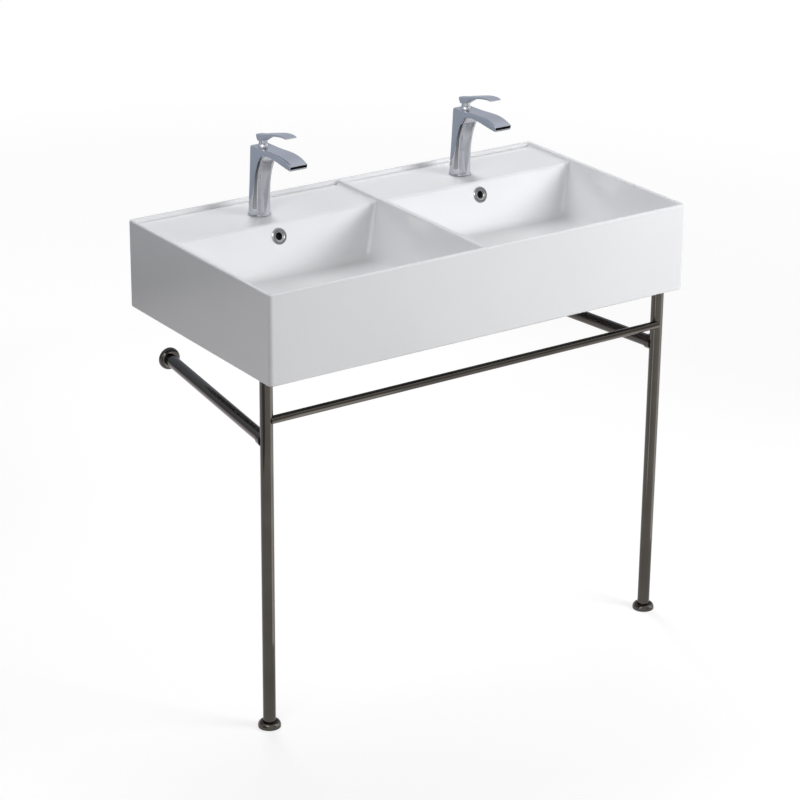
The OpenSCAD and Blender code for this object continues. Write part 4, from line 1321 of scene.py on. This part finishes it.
class BASIN_OT_rails(bpy.types.Operator):
    """Makes the side rails, their collars at the legs and the towel bar"""

    bl_idname = "basin.rails"
    bl_label = "Rails and towel bar"

    def execute(self, context):
        bore = TUBE_R - TUBE_WALL
        collar_bore = TUBE_R + 0.05
        collars = []
        for side, name in SIDES.items():
            outline = [(bore, 0), (TUBE_R, 0), (TUBE_R, RAIL_REACH), (bore, RAIL_REACH)]
            tube = placed(turned(f"stand_rail_{name}", outline, TUBE_ROUND), rail_place(side))
            wall = block("wall", (-WIDTH, -3, RAIL_Z - 40), (WIDTH, 90, RAIL_Z + 40))
            settled(carved(tube, leg_room(side), wall), f"side_rail_{name}", slot="dark_chrome")
            outline = [(collar_bore, 6), (15, 6), (15, 20.5, 1.2), (collar_bore, 20.5, 0.3)]
            collar = placed(turned("collar", outline, TUBE_ROUND), rail_place(side))
            collars.append(carved(collar, leg_room(side)))
        settled(joined("stand_collars", *collars), "rail_collars", slot="dark_chrome")
        half = LEG_X - 2.5
        bar = turned("stand_towel_bar", [(0, -half), (BAR_R, -half, 3), (BAR_R, half, 3), (0, half)])
        placed(bar, tipped((0, LEG_Y - 8, BAR_Z), axis="Y"))
        settled(carved(bar, leg_room(-1), leg_room(1)), "towel_bar", slot="dark_chrome")
        return {"FINISHED"}


class BASIN_OT_covers(bpy.types.Operator):
    """Makes the domed covers at the feet and on the wall"""

    bl_idname = "basin.covers"
    bl_label = "Domed covers"

    def execute(self, context):
        foot = dome_cover("foot", TUBE_R + 0.06)
        both_sides(foot_place, foot, "foot_covers", "foot_domes", slot="dark_chrome")
        covers = []
        for side in SIDES:
            cover = placed(dome_cover("cover", 6), tipped((side * RAIL_WALL_X, 0, RAIL_Z)))
            rail = placed(rod("rail_room", TUBE_R + 0.15, 0, RAIL_REACH, sides=TUBE_ROUND), rail_place(side))
            covers.append(carved(cover, rail))
        settled(joined("wall_covers", *covers), "wall_domes", slot="dark_chrome")
        return {"FINISHED"}


class BASIN_OT_feet(bpy.types.Operator):
    """Makes the ribbed rubber pads under the feet"""

    bl_idname = "basin.feet"
    bl_label = "Foot pads"

    def execute(self, context):
        outline = [(0, 0.6)]
        for i in range(5):
            r = 3.2 * i + 1.6
            outline += [(r, 0.6), (r + 0.4, 0), (r + 1.9, 0), (r + 2.3, 0.6)]
        outline += [(17.2, 0.5), (18, 1, 0.3), (18, 2, 0.3), (0, 2)]
        both_sides(foot_place, turned("pad", outline), "foot_rubbers", "foot_pads", slot="rubber")
        return {"FINISHED"}


# Stage, in metres

# Gap between the feet and the floor
FLOOR_GAP = 0.0005

# The floor's own white, which only the camera and reflections see: strongest away from the lamps
FLOOR_MIDDLE = (0.3, 0.3, FLOOR * MM)
FLOOR_GLOW = (0.67, 0.915)
GLOW_REACH = (1.3, 3.6)

# The photograph's camera
EYE = Vector((-2.910, -4.4387, 1.7602))
YAW, PITCH, ROLL = (math.radians(a) for a in (34.656, 22.169, 0.546))
LENS = 123.3


def grey(low_shade, high_shade, low=-1.0, high=1.0):
    return (low, (low_shade,) * 3), (high, (high_shade,) * 3)


# Colours of the wall that reflections see, by height
WALL = (
    (-0.55, (1.1, 1.04, 1.1)),
    (-0.3, (0.7, 0.68, 0.72)),
    (-0.22, (0.2, 0.21, 0.24)),
    (-0.1, (0.4, 0.44, 0.51)),
    (0.36, (0.53, 0.56, 0.63)),
    (2.0, (0.83, 0.85, 0.94)),
)

# Cards that only reflections see: name, middle, the point it faces, size, and colours by height
CARDS = (
    ("grey_wall", (0.4, 0.4, 0.9), (0.4, -1, 0.9), (5, 3.4), WALL),
    ("grey_ceiling", (0, -0.8, 2.5), (0, -0.8, 0), (5, 2.6), grey(0.85, 0.85)),
    ("grey_front", (1.7, -3.6, 0.6), (0, -0.3, 0.6), (2.6, 1.5), grey(0.4, 0.4)),
    ("dark_left", (-1.7, -0.75, -0.5), (0, -0.75, -0.5), (1.1, 1.2), grey(0.35, 0.35)),
)

# Small upright cards round each tap: name, place from the tap's foot, size, and shades at its foot and head
TAP_FLAGS = (
    ("dark_arch", (-0.06, -0.012, 0.045), (0.06, 0.085), (0.52, 0.05)),
    ("bright_edge", (0.14, -0.1, 0.05), (0.05, 0.08), (1.5, 1.5)),
)


def lamp(name, at, target, size, power, glossy=False):
    light = bpy.data.lights.new(name, "AREA")
    light.shape = "RECTANGLE"
    light.size, light.size_y = size
    light.energy = power
    holder = bpy.data.objects.new(name, light)
    bpy.context.scene.collection.objects.link(holder)
    holder.location = at
    holder.rotation_euler = (Vector(target) - Vector(at)).to_track_quat("-Z", "Y").to_euler()
    holder.visible_glossy = glossy


def card(name, at, target, size, stops):
    """Card that only reflections see, its colour given at two heights or more."""
    piece = plane(name)
    way = (Vector(target) - Vector(at)).to_track_quat("Z", "Y").to_matrix().to_4x4()
    piece.data.transform(Matrix.Translation(at) @ way @ Matrix.Diagonal((*size, 1, 1)))
    made, tree, shader = material(name)
    low, high = stops[0][0], stops[-1][0]
    brightest = max(max(colour) for height, colour in stops)
    place = node(tree, "ShaderNodeSeparateXYZ", object_place(tree))
    shades = node(tree, "ShaderNodeValToRGB", spread(tree, place.outputs["Z"], 0.0, 1.0, low, high))
    ramp = shades.color_ramp.elements
    while len(ramp) < len(stops):
        ramp.new(0.5)
    for mark, (height, colour) in zip(ramp, stops):
        mark.position = (height - low) / (high - low)
        mark.color = (*(c / brightest for c in colour), 1)
    fed(
        tree, shader,
        Base_Color=(0, 0, 0, 1), Roughness=1, Specular_IOR_Level=0,
        Emission_Color=shades.outputs["Color"], Emission_Strength=brightest,
    )
    piece.data.materials.append(made)
    piece.visible_camera = piece.visible_diffuse = piece.visible_shadow = piece.visible_transmission = False


def seen(tree):
    """1 for rays that see the white background: from the camera, and by reflection or through glass."""
    path = node(tree, "ShaderNodeLightPath")
    total = path.outputs["Is Camera Ray"]
    for other in ("Is Glossy Ray", "Is Transmission Ray"):
        total = math_node(tree, "ADD", total, path.outputs[other], use_clamp=True)
    return total


def studio_floor(tint):
    """Floor that takes the shadow, glows white for the camera and is clear from below."""
    floor = plane("studio_floor", 24, (0, 0, FLOOR * MM - FLOOR_GAP))
    made, tree, shader = material("studio_floor")
    fed(tree, shader, Base_Color=(*tint, 1), Roughness=0.9, Specular_IOR_Level=0)
    away = node(tree, "ShaderNodeVectorMath", object_place(tree), FLOOR_MIDDLE, operation="DISTANCE")
    white = spread(tree, away.outputs["Value"], *FLOOR_GLOW, *GLOW_REACH)
    strength = math_node(tree, "MULTIPLY", seen(tree), white)
    glow = node(tree, "ShaderNodeEmission", Color=(1, 1, 1, 1), Strength=strength)
    lit = node(tree, "ShaderNodeAddShader", shader.outputs[0], glow.outputs[0])
    clear = node(tree, "ShaderNodeBsdfTransparent")
    back = node(tree, "ShaderNodeNewGeometry").outputs["Backfacing"]
    below = node(tree, "ShaderNodeMixShader", back, lit.outputs[0], clear.outputs[0])
    fed(tree, tree.nodes["Material Output"], Surface=below.outputs[0])
    floor.data.materials.append(made)


def studio_world(scene, fill):
    """Even light from all round, white where it is seen."""
    scene.world = bpy.data.worlds.new("studio_light")
    scene.world.use_nodes = True
    tree = scene.world.node_tree
    strength = spread(tree, seen(tree), fill, 1.0, 0.0, 1.0)
    fed(tree, tree.nodes["Background"], Color=(1, 1, 1, 1), Strength=strength)


def photograph_camera(scene):
    camera = bpy.data.objects.new("camera", bpy.data.cameras.new("camera"))
    scene.collection.objects.link(camera)
    ahead = Vector((math.sin(YAW) * math.cos(PITCH), math.cos(YAW) * math.cos(PITCH), -math.sin(PITCH)))
    level_right = Vector((math.cos(YAW), -math.sin(YAW), 0))
    level_up = level_right.cross(ahead)
    right = level_right * math.cos(ROLL) + level_up * math.sin(ROLL)
    up = level_up * math.cos(ROLL) - level_right * math.sin(ROLL)
    camera.matrix_world = Matrix((
        (right.x, up.x, -ahead.x, EYE.x),
        (right.y, up.y, -ahead.y, EYE.y),
        (right.z, up.z, -ahead.z, EYE.z),
        (0, 0, 0, 1),
    ))
    camera.data.lens = LENS
    camera.data.sensor_width = 36
    scene.camera = camera


class BASIN_OT_stage(bpy.types.Operator):
    """Makes the floor, backdrop light, lamps and the camera at the photograph's angle"""

    bl_idname = "basin.stage"
    bl_label = "Stage and camera"

    def execute(self, context):
        scene = context.scene
        studio = scene.basin_studio
        studio_floor(studio.floor_tint)
        studio_world(scene, studio.fill)
        centre = (0, -0.25, 0.0)
        lamp("back_light", (0.5, 1.6, 1.8), centre, (1.2, 1.2), studio.back_power)
        lamp("key_light", (1.4, -2.2, 0.8), (0.3, -0.3, 0), (1.2, 0.6), studio.key_power)
        lamp("side_light", (-2.0, -1.5, 1.6), centre, (1.2, 1.2), studio.side_power, True)
        for values in CARDS:
            card(*values)
        for side, name in SIDES.items():
            leg = Vector((side * LEG_X, LEG_Y, 0)) * MM
            at, faced = leg + Vector((0.29, -0.2, -0.52)), leg + Vector((0, 0, -0.52))
            card(f"bright_strip_{name}", at, faced, (0.24, 0.6), grey(2.4, 2.4))
            tap = Vector((side * BOWL_X, TAP_Y, DECK)) * MM
            for label, offset, size, shades in TAP_FLAGS:
                at = tap + Vector(offset)
                faced = Vector((tap.x, tap.y, at.z))
                stops = grey(*shades, at.z - size[1] / 2, at.z + size[1] / 2)
                card(f"{label}_{name}", at, faced, size, stops)
        photograph_camera(scene)
        scene.view_settings.view_transform = "Standard"
        return {"FINISHED"}


STEPS = (
    BASIN_OT_finishes,
    BASIN_OT_ceramic,
    BASIN_OT_overflows,
    BASIN_OT_wastes,
    BASIN_OT_waste_fixings,
    BASIN_OT_tap_castings,
    BASIN_OT_tap_trim,
    BASIN_OT_levers,
    BASIN_OT_tap_fixings,
    BASIN_OT_legs,
    BASIN_OT_rails,
    BASIN_OT_covers,
    BASIN_OT_feet,
    BASIN_OT_stage,
)

# Settings of the scene: title in the panel, property of the scene, and its group
SETTINGS = (
    ("Ceramic", "basin_sizes", BasinSizes),
    ("Taps", "basin_taps", TapSizes),
    ("Finishes", "basin_finishes", Finishes),
    ("Studio", "basin_studio", Studio),
)


class BASIN_PT_panel(bpy.types.Panel):
    """Lists the settings and the steps"""

    bl_idname = "BASIN_PT_panel"
    bl_label = "Double basin"
    bl_space_type = "VIEW_3D"
    bl_region_type = "UI"
    bl_category = "Basin"

    def draw(self, context):
        for title, place, kind in SETTINGS:
            box = self.layout.box()
            box.label(text=title)
            for name in kind.__annotations__:
                box.prop(getattr(context.scene, place), name)
        for step in STEPS:
            self.layout.operator(step.bl_idname)


CLASSES = (*(kind for title, place, kind in SETTINGS), *STEPS, BASIN_PT_panel)


def register():
    for each in CLASSES:
        bpy.utils.register_class(each)
    for title, place, kind in SETTINGS:
        setattr(bpy.types.Scene, place, bpy.props.PointerProperty(type=kind))


def unregister():
    for title, place, kind in SETTINGS:
        delattr(bpy.types.Scene, place)
    for each in reversed(CLASSES):
        bpy.utils.unregister_class(each)


def main():
    register()
    for step in STEPS:
        getattr(bpy.ops.basin, step.bl_idname.removeprefix("basin."))()


if __name__ == "__main__":
    main()
